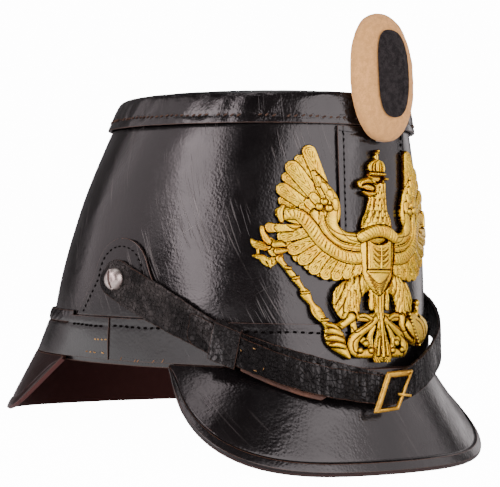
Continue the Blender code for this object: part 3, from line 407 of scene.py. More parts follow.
@dataclass(frozen=True)
class LacqueredLeather(Finish):
    """Old black lacquer on leather, scratched, crazed and rubbed brown at its edges; its underside
    can take raw brown leather's colour, lightened as painted bounce light.
    """

    slot: str = "lacquered_leather"
    colour: tuple = (0.0030, 0.0024, 0.0027)
    faded: tuple = (0.0065, 0.0052, 0.0055)
    scratch_colour: tuple = (0.070, 0.064, 0.061)
    edge_colour: tuple = (0.060, 0.026, 0.015)
    roughness: tuple = (0.17, 0.25)
    scratches: float = 0.8
    craze_scale: float = 620.0
    craze_width: float = 0.05
    craze_cover: float = 0.16
    craze_depth: float = 0.00005
    grain_depth: float = 0.00016
    edge_start: float = 0.5
    specular: float = 0.58
    under: tuple | None = None
    worn_roughness: float = 0.25

    def build(self, t: Tree, shader: Node, effects: Effects) -> None:
        """Join the lacquer's nodes to the shader."""
        vector = surface_vector(t)
        scratch = t.group(effects.scratches, Vector=vector, Amount=self.scratches)
        craze = t.group(effects.crazing, Vector=vector, Scale=self.craze_scale,
                        Width=self.craze_width, Cover=self.craze_cover)
        grain = t.group(effects.grain, Vector=vector)
        wear = t.group(effects.wear, Vector=vector, Start=self.edge_start)
        cloud = t.spread(t.noise(vector, 22.0, 4.0), 0.35, 0.7)
        body = t.mix(cloud, self.colour, self.faded)
        scratched = t.mix(scratch.outputs["Mask"], body, self.scratch_colour)
        worn = t.mix(wear.outputs["Mask"], scratched, self.edge_colour)
        # Underside colour: raw brown leather, lightened as painted bounce light from the floor.
        if self.under:
            worn = t.mix(t.measured("under"), worn, self.under)
        t.feed(shader.inputs["Base Color"], worn)
        rough = t.spread(t.noise(vector, 70.0, 4.0), 0.3, 0.7, *self.roughness)
        t.feed(shader.inputs["Roughness"],
               t.scaled_sum(wear.outputs["Mask"], self.worn_roughness, rough))
        shader.inputs["Specular IOR Level"].default_value = self.specular
        fine = t.bump(grain.outputs["Height"], 1.0, self.grain_depth)
        carved = t.math("ADD", craze.outputs["Cracks"], scratch.outputs["Mask"])
        sunk = t.math("SUBTRACT", 1.0, carved)
        t.feed(shader.inputs["Normal"], t.bump(sunk, 1.0, self.craze_depth, fine))


@dataclass(frozen=True)
class StrapLeather(LacqueredLeather):
    """The strap's leather: folded across, cracked, shiny on its ridges, and lighter away from the
    front, where dust and a painted sheen lie.
    """

    fold_slant: float = 8.0
    fold_size: tuple = (520.0, 80.0, 1.0)
    fold_range: tuple = (0.38, 0.58)
    ridge_range: tuple = (0.44, 0.56)
    wrinkle_depth: float = 0.0017
    # The lighter colour away from the strap's front is dust and a painted sheen: its colour, its
    # share and where it starts.
    dust_and_sheen: tuple = (0.046, 0.040, 0.038)
    dust_and_sheen_share: float = 0.8
    dust_and_sheen_from: tuple = (-0.090, -0.050)
    least_patch: float = 0.15
    shine: float = 0.45
    shine_roughness: float = 0.20
    dull_crack_width: float = 0.16
    dull_crack_cover: float = 0.8

    def build(self, t: Tree, shader: Node, effects: Effects) -> None:
        """Add folds, dust and shiny ridges to the lacquer's nodes."""
        super().build(t, shader, effects)
        vector = surface_vector(t)
        across = t.turned(vector, math.radians(self.fold_slant), self.fold_size)
        folds = t.noise(across, 1.0, 4.0, 0.6)
        patch = t.spread(t.noise(vector, 55.0, 3.0), 0.42, 0.58, self.least_patch, 1.0)
        before = shader.inputs["Normal"].links[0].from_socket
        t.feed(shader.inputs["Normal"],
               t.bump(t.spread(folds, *self.fold_range), 0.8, self.wrinkle_depth, before))
        place = t.add("ShaderNodeSeparateXYZ")
        t.feed(place.inputs[0], surface_vector(t, own=False))
        # Lighter away from the front: dust, and a painted sheen standing in for the lamps'
        # reflection.
        dust_and_sheen_mask = t.spread(place.outputs["Y"], *self.dust_and_sheen_from, 0.0, self.dust_and_sheen_share)
        dust_and_sheen_mask = t.math("MULTIPLY", dust_and_sheen_mask, patch)
        body = shader.inputs["Base Color"].links[0].from_socket
        t.feed(shader.inputs["Base Color"], t.mix(dust_and_sheen_mask, body, self.dust_and_sheen))
        cracked = t.group(effects.crazing, Vector=vector, Scale=self.craze_scale,
                          Width=self.dull_crack_width,
                          Cover=self.dull_crack_cover).outputs["Cracks"]
        whole = t.math("SUBTRACT", 1.0, cracked)
        ridge = t.math("MULTIPLY", t.spread(folds, *self.ridge_range), whole)
        shine = t.math("MULTIPLY", t.math("MULTIPLY", ridge, patch), self.shine)
        t.feed(shader.inputs["Coat Weight"], shine)
        shader.inputs["Coat Roughness"].default_value = self.shine_roughness


@dataclass(frozen=True)
class RawLeather(Finish):
    """Bare brown leather with a fibrous face."""

    colour: tuple = (0.115, 0.045, 0.024)
    dark: tuple = (0.03, 0.013, 0.009)
    roughness: float = 0.62
    grain_depth: float = 0.0002

    def build(self, t: Tree, shader: Node, effects: Effects) -> None:
        """Join the raw leather's nodes to the shader."""
        vector = surface_vector(t)
        grain = t.group(effects.grain, Vector=vector, Scale=900.0)
        cloud = t.spread(t.noise(vector, 90.0, 5.0, 0.6), 0.3, 0.7)
        t.feed(shader.inputs["Base Color"], t.mix(cloud, self.dark, self.colour))
        shader.inputs["Roughness"].default_value = self.roughness
        t.feed(shader.inputs["Normal"], t.bump(grain.outputs["Height"], 1.0, self.grain_depth))


@dataclass(frozen=True)
class Metal(Finish):
    """A metal browned in its recesses by dirt and painted shade, with small dents."""

    bright: tuple = (1.0, 0.67, 0.035)
    dull: tuple = (0.92, 0.52, 0.022)
    dirt_and_shade: tuple = (0.10, 0.036, 0.008)
    roughness: tuple = (0.20, 0.36)
    dirt_and_shade_range: tuple = (0.10, 0.62)
    dent_scale: float = 1100.0
    dent_depth: float = 0.00022

    def build(self, t: Tree, shader: Node, effects: Effects) -> None:
        """Join the metal's nodes to the shader."""
        vector = surface_vector(t)
        speck = t.noise(vector, 420.0, 4.0, 0.7)
        patina = t.spread(t.noise(vector, 120.0, 4.0, 0.6), 0.38, 0.68)
        body = t.mix(patina, self.bright, self.dull)
        # Recesses turn brown: dirt, and painted shade where hollows fall dark.
        held = t.scaled_sum(t.math("SUBTRACT", speck, 0.5), 0.5, t.measured("recess"))
        t.feed(shader.inputs["Base Color"],
               t.mix(t.spread(held, *self.dirt_and_shade_range), body, self.dirt_and_shade))
        t.feed(shader.inputs["Roughness"], t.spread(speck, 0.3, 0.7, *self.roughness))
        shader.inputs["Metallic"].default_value = 1.0
        dents = t.noise(vector, self.dent_scale, 3.0, 0.6)
        t.feed(shader.inputs["Normal"], t.bump(dents, 1.0, self.dent_depth))


@dataclass(frozen=True)
class WoolCloth(Finish):
    """Milled wool cloth: a soft, flecked nap with small soils."""

    colour: tuple = (0.86, 0.46, 0.168)
    shade: tuple = (0.64, 0.33, 0.115)
    soil: float = 0.8
    roughness: float = 0.95
    specular: float = 0.15
    sheen: float = 0.15
    sheen_roughness: float = 0.5
    nap_depth: float = 0.0005

    def build(self, t: Tree, shader: Node, effects: Effects) -> None:
        """Join the cloth's nodes to the shader."""
        vector = surface_vector(t, own=False)
        nap = t.noise(vector, 1500.0, 5.0, 0.75)
        tuft = t.noise(vector, 420.0, 3.0, 0.6)
        cloud = t.spread(t.noise(vector, 60.0, 4.0), 0.3, 0.75)
        both = t.math("MULTIPLY", t.math("ADD", nap, tuft), 0.5)
        fleck = t.spread(both, 0.40, 0.62)
        light = t.mix(fleck, self.shade, self.colour)
        soiled = tuple(c * self.soil for c in self.colour)
        t.feed(shader.inputs["Base Color"], t.mix(t.math("MULTIPLY", cloud, 0.5), light, soiled))
        t.fill(shader, {"Roughness": self.roughness, "Specular IOR Level": self.specular,
                        "Sheen Weight": self.sheen, "Sheen Roughness": self.sheen_roughness})
        t.feed(shader.inputs["Normal"], t.bump(both, 0.9, self.nap_depth))


@dataclass(frozen=True)
class Thread(Finish):
    """Twisted sewing thread."""

    colour: tuple = (0.16, 0.085, 0.045)
    dark: tuple = (0.035, 0.02, 0.014)
    roughness: float = 0.8
    specular: float = 0.3
    twist_depth: float = 0.0002

    def build(self, t: Tree, shader: Node, effects: Effects) -> None:
        """Join the thread's nodes to the shader."""
        vector = surface_vector(t, own=False)
        spun = t.noise(vector, 700.0, 3.0, 0.6)
        t.feed(shader.inputs["Base Color"],
               t.mix(t.spread(spun, 0.35, 0.65), self.dark, self.colour))
        t.fill(shader, {"Roughness": self.roughness, "Specular IOR Level": self.specular})
        t.feed(shader.inputs["Normal"], t.bump(spun, 0.8, self.twist_depth))


LACQUER = LacqueredLeather("black lacquered leather")
LID_LACQUER = LacqueredLeather("crazed lid leather", craze_cover=0.35, craze_scale=560.0,
                               craze_width=0.06, craze_depth=0.00012, scratches=0.3,
                               grain_depth=0.00026)
BAND_LACQUER = LacqueredLeather("band leather", scratches=0.2, craze_cover=0.2, edge_start=0.45)
# The visors' underside colours are raw brown leather, lightened as painted bounce light.
VISOR_LACQUER = LacqueredLeather("visor leather", scratches=0.35, craze_scale=420.0,
                                 craze_cover=0.3, edge_start=0.4, roughness=(0.18, 0.28),
                                 grain_depth=0.00022, under=(0.035, 0.014, 0.012))
REAR_VISOR_LACQUER = LacqueredLeather("rear visor leather", colour=(0.010, 0.0032, 0.0028),
                                      faded=(0.020, 0.0062, 0.0052), scratches=0.15,
                                      craze_cover=0.1, under=(0.10, 0.037, 0.034),
                                      specular=0.30)
STRAP = StrapLeather("worn strap leather", "strap_leather", colour=(0.0030, 0.0025, 0.0026),
                     faded=(0.0060, 0.0050, 0.0048), roughness=(0.20, 0.40), specular=0.14,
                     craze_cover=0.7, craze_scale=420.0, craze_width=0.12, craze_depth=0.00080,
                     edge_start=0.42, edge_colour=(0.060, 0.028, 0.017), scratches=0.5)
KEEPER = replace(STRAP, name="keeper leather", specular=0.20, dust_and_sheen=(0.016, 0.0135, 0.0135),
                 shine=1.0, craze_cover=0.5, craze_width=0.10, craze_depth=0.00050)
TONGUE = RawLeather("brown strap leather", "brown_leather")
GILT = Metal("gilt brass", "gilt_brass")
BUCKLE_BRASS = Metal("buckle brass", "buckle_brass", bright=(0.80, 0.46, 0.06),
                     dull=(0.42, 0.22, 0.028), roughness=(0.24, 0.45))
STEEL = Metal("screw steel", "screw_steel", bright=(0.66, 0.59, 0.55), dull=(0.40, 0.33, 0.31),
              dirt_and_shade=(0.05, 0.04, 0.04), roughness=(0.26, 0.44), dent_depth=0.00005)
CREAM_WOOL = WoolCloth("cream wool", "cream_wool")
BLACK_WOOL = WoolCloth("black wool", "black_wool", colour=(0.030, 0.026, 0.027),
                       shade=(0.004, 0.0035, 0.004), sheen=0.08)
BROWN_THREAD = Thread("brown thread", "brown_leather", colour=(0.085, 0.046, 0.030),
                      dark=(0.03, 0.016, 0.011))
TAN_THREAD = Thread("tan thread", "brown_leather", colour=(0.30, 0.15, 0.07))
# Black thread, also the holes' painted shade.
BLACK_THREAD = Thread("black thread", "lacquered_leather", colour=(0.004, 0.003, 0.003),
                      dark=(0.0015, 0.001, 0.001), specular=0.03)
YELLOW_THREAD = Thread("yellow thread", "brown_leather", colour=(0.55, 0.33, 0.12),
                       dark=(0.25, 0.13, 0.05))


# ---------- mesh helpers

def select_only(piece: Piece) -> None:
    """Make a piece the only selected and the active object."""
    bpy.ops.object.select_all(action="DESELECT")
    piece.select_set(True)
    bpy.context.view_layer.objects.active = piece


def set_mode(mode: str) -> None:
    """Switch between editing a mesh and handling objects."""
    bpy.ops.object.mode_set(mode=mode)


def apply_modifier(piece: Piece, kind: str, **values: object) -> None:
    """Add a modifier to a piece and apply it."""
    select_only(piece)
    modifier = piece.modifiers.new(kind.lower(), kind)
    for name, value in values.items():
        setattr(modifier, name, value)
    bpy.ops.object.modifier_apply(modifier=modifier.name)


def vertex_array(mesh: Mesh, what: str = "co") -> Array:
    """A mesh's vertex positions or normals as an array."""
    flat = np.empty(len(mesh.vertices) * 3)
    mesh.vertices.foreach_get(what, flat)
    return flat.reshape(-1, 3)


def set_vertices(mesh: Mesh, points: Array) -> None:
    """Write a mesh's vertex positions."""
    mesh.vertices.foreach_set("co", points.astype(np.float32).ravel())
    mesh.update()


def set_attribute(mesh: Mesh, name: str, values: Array) -> None:
    """Write a number for each vertex."""
    layer = mesh.attributes.get(name) or mesh.attributes.new(name, "FLOAT", "POINT")
    layer.data.foreach_set("value", values.astype(np.float32))


def read_attribute(mesh: Mesh, name: str) -> Array:
    """Read a number for each vertex."""
    values = np.empty(len(mesh.vertices), np.float32)
    mesh.attributes[name].data.foreach_get("value", values)
    return values.astype(float)


def corner_vertices(mesh: Mesh) -> Array:
    """The vertex at each corner of each face."""
    corner = np.empty(len(mesh.loops), np.int64)
    mesh.loops.foreach_get("vertex_index", corner)
    return corner


def chosen_vertices(mesh: Mesh) -> Array:
    """Which vertices are selected."""
    chosen = np.empty(len(mesh.vertices), bool)
    mesh.vertices.foreach_get("select", chosen)
    return chosen


def measure_edges(mesh: Mesh, full: float = 900.0, rounds: int = 2) -> None:
    """Write how convex ("edge") and how hollow ("recess") the mesh is at each vertex.

    Args:
        mesh: the mesh to measure.
        full: the curvature, per metre, that counts as a full edge.
        rounds: how often the measure is evened out with its neighbours.
    """
    points, normals = vertex_array(mesh), vertex_array(mesh, "normal")
    pairs = np.empty(len(mesh.edges) * 2, np.int64)
    mesh.edges.foreach_get("vertices", pairs)
    first, second = pairs.reshape(-1, 2).T
    run = points[second] - points[first]
    square = np.maximum((run ** 2).sum(1), 1e-14)
    bend = np.zeros(len(points))
    count = np.zeros(len(points))
    np.add.at(bend, first, -(run * normals[first]).sum(1) / square)
    np.add.at(bend, second, (run * normals[second]).sum(1) / square)
    np.add.at(count, first, 1)
    np.add.at(count, second, 1)
    bend /= np.maximum(count, 1)
    for _ in range(rounds):
        total = np.zeros(len(points))
        np.add.at(total, first, bend[second])
        np.add.at(total, second, bend[first])
        bend = 0.5 * bend + 0.5 * total / np.maximum(count, 1)
    set_attribute(mesh, "edge", np.clip(2 * bend / full, 0.0, 1.0))
    set_attribute(mesh, "recess", np.clip(-2 * bend / full, 0.0, 1.0))


Lie = Callable[[Array], Array]
LOOKING_UP = 0.75
TOP_APART = 1.0


def unwrap_round_crown(mesh: Mesh, flat_top: bool = False, line: Lie | None = None) -> None:
    """Give a mesh a UV map in metres: along the crown's girth and up it.

    Args:
        mesh: the mesh.
        flat_top: lay faces that look up on the horizontal plane instead.
        line: the height of a strap's own line at an angle, which the map then follows.
    """
    points = vertex_array(mesh)
    angle, height = CROWN.unwrap(points)
    if line is not None:
        height = height - line(angle)
    corner = corner_vertices(mesh)
    sizes = np.empty(len(mesh.polygons), np.int64)
    mesh.polygons.foreach_get("loop_total", sizes)
    starts = np.concatenate([[0], np.cumsum(sizes)[:-1]])
    owner = np.repeat(np.arange(len(sizes)), sizes)
    lead = angle[corner[starts]][owner]
    turn = angle[corner] - lead
    turn = (turn + math.pi) % (2 * math.pi) - math.pi
    across = (lead + turn) * CROWN.unwrap_radius * MM
    up = height[corner] * MM
    if flat_top:
        normals = np.empty(len(mesh.polygons) * 3)
        mesh.polygons.foreach_get("normal", normals)
        top = (np.abs(normals.reshape(-1, 3)[:, 2]) > LOOKING_UP)[owner]
        across = np.where(top, points[corner][:, 0] + TOP_APART, across)
        up = np.where(top, points[corner][:, 1], up)
    layer = mesh.uv_layers.get("follow") or mesh.uv_layers.new(name="follow")
    layer.data.foreach_set("uv", np.stack([across, up], 1).astype(np.float32).ravel())
    mesh.uv_layers.active = layer


def finish_piece(piece: Piece, finish: Finish, effects: Effects, *nodes: str) -> Piece:
    """Give a piece its material and its body, and hide the imported nodes that it stands for."""
    piece.data.materials.clear()
    piece.data.materials.append(finish.material(effects))
    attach(piece, BODY)
    if nodes:
        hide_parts(*nodes)
    LOG.info("%s: %d faces", piece.name, len(piece.data.polygons))
    return piece


def new_mesh_piece(name: str, points: Array, faces: Sequence) -> Piece:
    """Make an object from points in metres and faces."""
    mesh = bpy.data.meshes.new(name)
    mesh.from_pydata([tuple(p) for p in points], [], faces)
    mesh.update()
    piece = bpy.data.objects.new(name, mesh)
    bpy.context.scene.collection.objects.link(piece)
    return piece


# ---------- pieces from the solids

@dataclass
class SolidCopy:
    """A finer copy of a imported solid, with rounded edges and leather's unevenness."""

    node: str
    name: str
    finish: Finish
    bevel: float = 0.35
    levels: int = 3
    uneven: float = 0.15
    uneven_size: float = 14.0
    flat_top: bool = False
    line: Lie | None = None
    shape: Callable[[Array, Array], Array] | None = None
    straight: bool = False
    merge: float = 0.01
    sharp: float = math.radians(38)

    def copy(self) -> Piece:
        """Copy the solid, merge its points and round its sharp edges."""
        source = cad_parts[self.node]
        piece = bpy.data.objects.new(self.name, source.data.copy())
        piece.data.name = self.name
        bpy.context.scene.collection.objects.link(piece)
        select_only(piece)
        set_mode("EDIT")
        bpy.ops.mesh.select_mode(type="EDGE")
        bpy.ops.mesh.select_all(action="SELECT")
        bpy.ops.mesh.remove_doubles(threshold=self.merge * MM)
        bpy.ops.mesh.tris_convert_to_quads(face_threshold=math.radians(30),
                                           shape_threshold=math.radians(60))
        bpy.ops.mesh.customdata_custom_splitnormals_clear()
        bpy.ops.mesh.select_all(action="DESELECT")
        bpy.ops.mesh.edges_select_sharp(sharpness=self.sharp)
        bpy.ops.mesh.bevel(offset=self.bevel * MM, segments=2, affect="EDGES")
        bpy.ops.mesh.select_all(action="DESELECT")
        set_mode("OBJECT")
        return piece

    def build(self, effects: Effects) -> Piece:
        """Make the piece and dress it."""
        piece = self.copy()
        apply_modifier(piece, "SUBSURF", levels=self.levels, render_levels=self.levels,
                       subdivision_type="SIMPLE" if self.straight else "CATMULL_CLARK")
        if self.uneven:
            cloud = bpy.data.textures.new(self.name + "_unevenness", "CLOUDS")
            cloud.noise_scale = self.uneven_size * MM
            cloud.noise_depth = 2
            apply_modifier(piece, "DISPLACE", texture=cloud, texture_coords="LOCAL",
                           strength=self.uneven * MM, mid_level=0.5)
        if self.shape:
            mesh = piece.data
            set_vertices(mesh, self.shape(vertex_array(mesh), vertex_array(mesh, "normal")))
        measure_edges(piece.data)
        # How much each face looks down; there the leather takes its underside colour, partly
        # painted bounce light.
        facing = vertex_array(piece.data, "normal")[:, 2]
        set_attribute(piece.data, "under", smooth((-0.05 - facing) / 0.3))
        unwrap_round_crown(piece.data, self.flat_top, self.line)
        piece.data.shade_smooth()
        return finish_piece(piece, self.finish, effects, self.node)


# ---------- leather's own shapes

BUCKLE_EXTRA = 0.35
PANEL_SEAM = 19.3
PANEL_SEAM_TOP = 112.5
BAND_TOP = 21.5
RIM_SEAM_Z = 117.4
RIM_LAP = -18.0
BAND_LAP = 84.0
BAND_STEP = 0.3
REAR_EDGE_END = 104.0
REAR_EDGE_DRAWN = 1.3
REAR_EDGE_Z = 19.0
RIB_PITCH = 3.1
RIB_LEAN = 0.35
BAND_SEAM_Z = 16.3
TAB_CENTRE = (-18.0, 40.5)
TAB_RADIUS = 18.0
TAB_FOOT = (20.8, 32.0)
TAB_SPREAD = 1.15
TAB_SEAM = 4.0
# Grooves as (width, depth).
PANEL_GROOVE = (0.7, 0.22)
TAB_GROOVE = (0.6, 0.08)
RIM_GROOVE = (0.9, 0.35)
RIM_LAP_GROOVE = (0.35, 0.55)
BAND_GROOVE = (0.6, 0.2)
FOLD_WIDTH = 0.5
# Folds at the panel's top as (height, depth, slant).
PANEL_FOLDS = ((110.6, 0.30, 0.012), (106.8, 0.22, -0.03), (104.4, 0.12, 0.02))
CROWN_SHOWN = (24.0, 110.0)
RIM_SHOWN = (112.0, 127.5)
RIM_LAP_TOP = 118.0
# The strap's middle line as (angle in degrees, height).
STRAP_LINE = ((-88.0, 42.8), (-82.4, 38.7), (-69.0, 28.1), (-60.0, 20.6), (-52.0, 12.6),
              (-45.0, 7.3), (-37.0, 1.0), (-30.0, -3.3), (-22.0, -6.6), (-12.0, -8.8),
              (-4.0, -10.2), (2.0, -7.2), (12.0, -1.5), (24.0, 6.0), (36.0, 12.2),
              (48.0, 17.6), (60.0, 23.8), (70.0, 30.2), (77.5, 35.2), (82.4, 38.7),
              (88.0, 42.8))
STRAP_BOX = (-44.0, -38.6)
STRAP_HOLES = ((-35.3, -0.5), (-24.0, 0.0), (-14.0, 0.2))
STRAP_HOLE_RADIUS = 1.2


def groove(distance: Array, width: float, depth: float) -> Array:
    """Depth of a groove at a distance from its line."""
    return depth * bell(distance, width)


def moved_out(points: Array, out: Array) -> Array:
    """Move points away from the crown's leather."""
    angle, z = CROWN.unwrap(points)
    length, width, _ = CROWN.oval(z)
    normal = np.stack([np.sin(angle) / width, -np.cos(angle) / length, np.zeros(len(points))], -1)
    normal /= np.linalg.norm(normal, axis=-1, keepdims=True)
    return points + normal * out[:, None] * MM


def outward(points: Array, normals: Array, least: float = 0.3) -> Array:
    """Which points face away from the crown."""
    return (normals * (moved_out(points, np.ones(len(points))) - points) / MM).sum(1) > least


def thickened(points: Array, normals: Array) -> Array:
    """Give the buckle's bars their full, cast thickness."""
    return points + normals * BUCKLE_EXTRA * MM


def panel_shape(points: Array, normals: Array) -> Array:
    """Press the panel's seams in and fold its top."""
    own = CROWN.unstand(points)
    side, z = np.abs(own[:, 0]), own[:, 2]
    out = -groove(side - PANEL_SEAM, *PANEL_GROOVE)
    for height, depth, slant in PANEL_FOLDS:
        line = height + slant * own[:, 0] + 0.3 * np.sin(own[:, 0] * 0.5)
        out -= groove(z - line, FOLD_WIDTH, depth)
    return moved_out(points, out * outward(points, normals))


def tab_half(share: Array) -> Array:
    """A side tab's half width, from its round top (0) to its foot (1)."""
    return TAB_RADIUS + (TAB_FOOT[1] - TAB_RADIUS) * share ** TAB_SPREAD


def tab_edge(y: Array, z: Array) -> Array:
    """How far inside a side tab's outline a point lies."""
    share = np.clip((TAB_CENTRE[1] - z) / (TAB_CENTRE[1] - TAB_FOOT[0]), 0.0, 1.0)
    low = tab_half(share) - np.abs(y - TAB_CENTRE[0])
    high = TAB_RADIUS - np.hypot(y - TAB_CENTRE[0], z - TAB_CENTRE[1])
    return np.where(z > TAB_CENTRE[1], high, low)


def tab_shape(points: Array, normals: Array) -> Array:
    """Press the tab's seam in."""
    own = CROWN.unstand(points)
    out = -groove(tab_edge(own[:, 1], own[:, 2]) - TAB_SEAM, *TAB_GROOVE)
    facing = np.abs(normals[:, 0]) > 0.3
    return moved_out(points, out * facing * (own[:, 2] > BAND_TOP))


def crown_shape(points: Array, normals: Array) -> Array:
    """Age the crown with shallow dents between band and rim."""
    angle, across, z = CROWN.laid_out(points)
    out = 0.25 * np.sin(across * 0.045 + 0.6) * np.sin(z * 0.06 + 1.0)
    out += 0.12 * np.sin(across * 0.17 - z * 0.05) * np.sin(z * 0.13 + across * 0.03)
    low, high = CROWN_SHOWN
    return moved_out(points, np.where((z > low) & (z < high), out, 0.0))


def rim_shape(points: Array, normals: Array) -> Array:
    """Draw the lid's rim in at its seam and its lap, and wrinkle it."""
    angle, across, z = CROWN.laid_out(points)
    level = RIM_SEAM_Z + 0.25 * np.sin(across * 0.12)
    out = -groove(z - level, *RIM_GROOVE)
    out += 0.18 * np.sin(across * 0.33 + 1.3 * np.sin(across * 0.07)) * smooth((z - 113.5) / 3.0)
    out += 0.04 * np.sin(across * 0.81 + z * 0.5) * smooth((121.0 - z) / 5.0)
    lap = across - math.radians(RIM_LAP) * CROWN.unwrap_radius
    out -= groove(lap, *RIM_LAP_GROOVE) * (z < RIM_LAP_TOP)
    low, high = RIM_SHOWN
    shown = (z > low) & (z < high) & (np.abs(normals[:, 2]) < 0.8)
    return moved_out(points, np.where(shown, out, 0.0))


def band_shape(points: Array, normals: Array) -> Array:
    """Press the band's seam in, let its face wander and draw its lap over the other part."""
    angle, across, z = CROWN.laid_out(points)
    out = -groove(z - BAND_SEAM_Z, *BAND_GROOVE)
    out += 0.12 * np.sin(across * 0.09 + z * 0.2) + 0.06 * np.sin(across * 0.31)
    moved = moved_out(points, out * outward(points, normals))
    from_lap = (math.radians(BAND_LAP) - np.abs(angle)) * CROWN.unwrap_radius
    step = BAND_STEP * np.sign(angle) * bell(from_lap, 1.2) * (from_lap > 0.0) * MM
    moved[:, 0] += step * np.cos(angle)
    moved[:, 1] += step * np.sin(angle)
    return moved


def rear_edge_shape(points: Array, normals: Array) -> Array:
    """Draw the rear edge into ribs between its whip stitches, and its ends towards the tabs."""
    angle, across, z = CROWN.laid_out(points)
    rib = np.abs(np.sin(math.pi * (across + RIB_LEAN * (z - REAR_EDGE_Z)) / RIB_PITCH))
    inside = np.abs(np.degrees(angle)) - REAR_EDGE_END
    ribs = (0.9 * rib - 0.55) * smooth((inside - 2.0) / 4.0) - 0.5 * (1 - smooth(inside / 7.0))
    drawn = np.sign(angle) * math.radians(REAR_EDGE_DRAWN) * (1 - smooth(inside / 3.0))
    along = CROWN.place(angle - drawn, z, 0.0) - CROWN.place(angle, z, 0.0)
    return moved_out(points, np.where(outward(points, normals, 0.2), ribs, 0.0)) + along


def strap_line(angle: Array) -> Array:
    """Height of the chin strap's middle line at an angle."""
    degrees, heights = zip(*STRAP_LINE)
    return np.interp(np.degrees(angle), degrees, heights)


def strap_shape(points: Array, normals: Array) -> Array:
    """Wrinkle the strap across and let its edges curl."""
    angle, along, z = CROWN.laid_out(points)
    across = z - strap_line(angle)
    out = 0.05 * np.sin(along * 1.15 + 0.6 * np.sin(across * 0.6) + 2.0 * np.sin(along * 0.11))
    out *= 0.35 + 0.65 * np.sin(along * 0.09 + 0.8) ** 2
    out += 0.08 * np.sin(along * 0.21 + across * 0.25)
    side = 0.18 * np.sin(along * 0.55) + 0.12 * np.sin(along * 1.3 + 1.0)
    moved = moved_out(points, out)
    moved[:, 2] += side * MM * 0.6
    return moved


# ---------- stitches and holes

THREAD_RINGS = 5
THREAD_SIDES = 6
HOLE_SIDES = 7
LONGEST_STEP = 0.009


class Ground:
    """The dressed leather, on which threads and holes are set."""

    def __init__(self, pieces: Iterable[Piece]) -> None:
        """Gather the pieces' faces."""
        points, faces = [], []
        for piece in pieces:
            start = len(points)
            points.extend(v.co.copy() for v in piece.data.vertices)
            faces.extend([start + i for i in f.vertices] for f in piece.data.polygons)
        self.tree = BVHTree.FromPolygons(points, faces)

    def land(self, angle: float, z: float, reach: float = 22.0) -> tuple:
        """Where a line towards the crown first meets the leather.

        Args:
            angle: angle round the crown.
            z: height in the hat's frame.
            reach: how far out the line starts.

        Returns:
            The point and the surface's normal, or None twice.
        """
        start = Vector(CROWN.place(angle, z, reach))
        aim = Vector(CROWN.place(angle, z, 0.0)) - start
        spot, normal, _, _ = self.tree.ray_cast(start, aim.normalized(), (reach + 6.0) * MM)
        if spot is None:
            return None, None
        return spot, normal if normal.dot(aim) < 0 else -normal


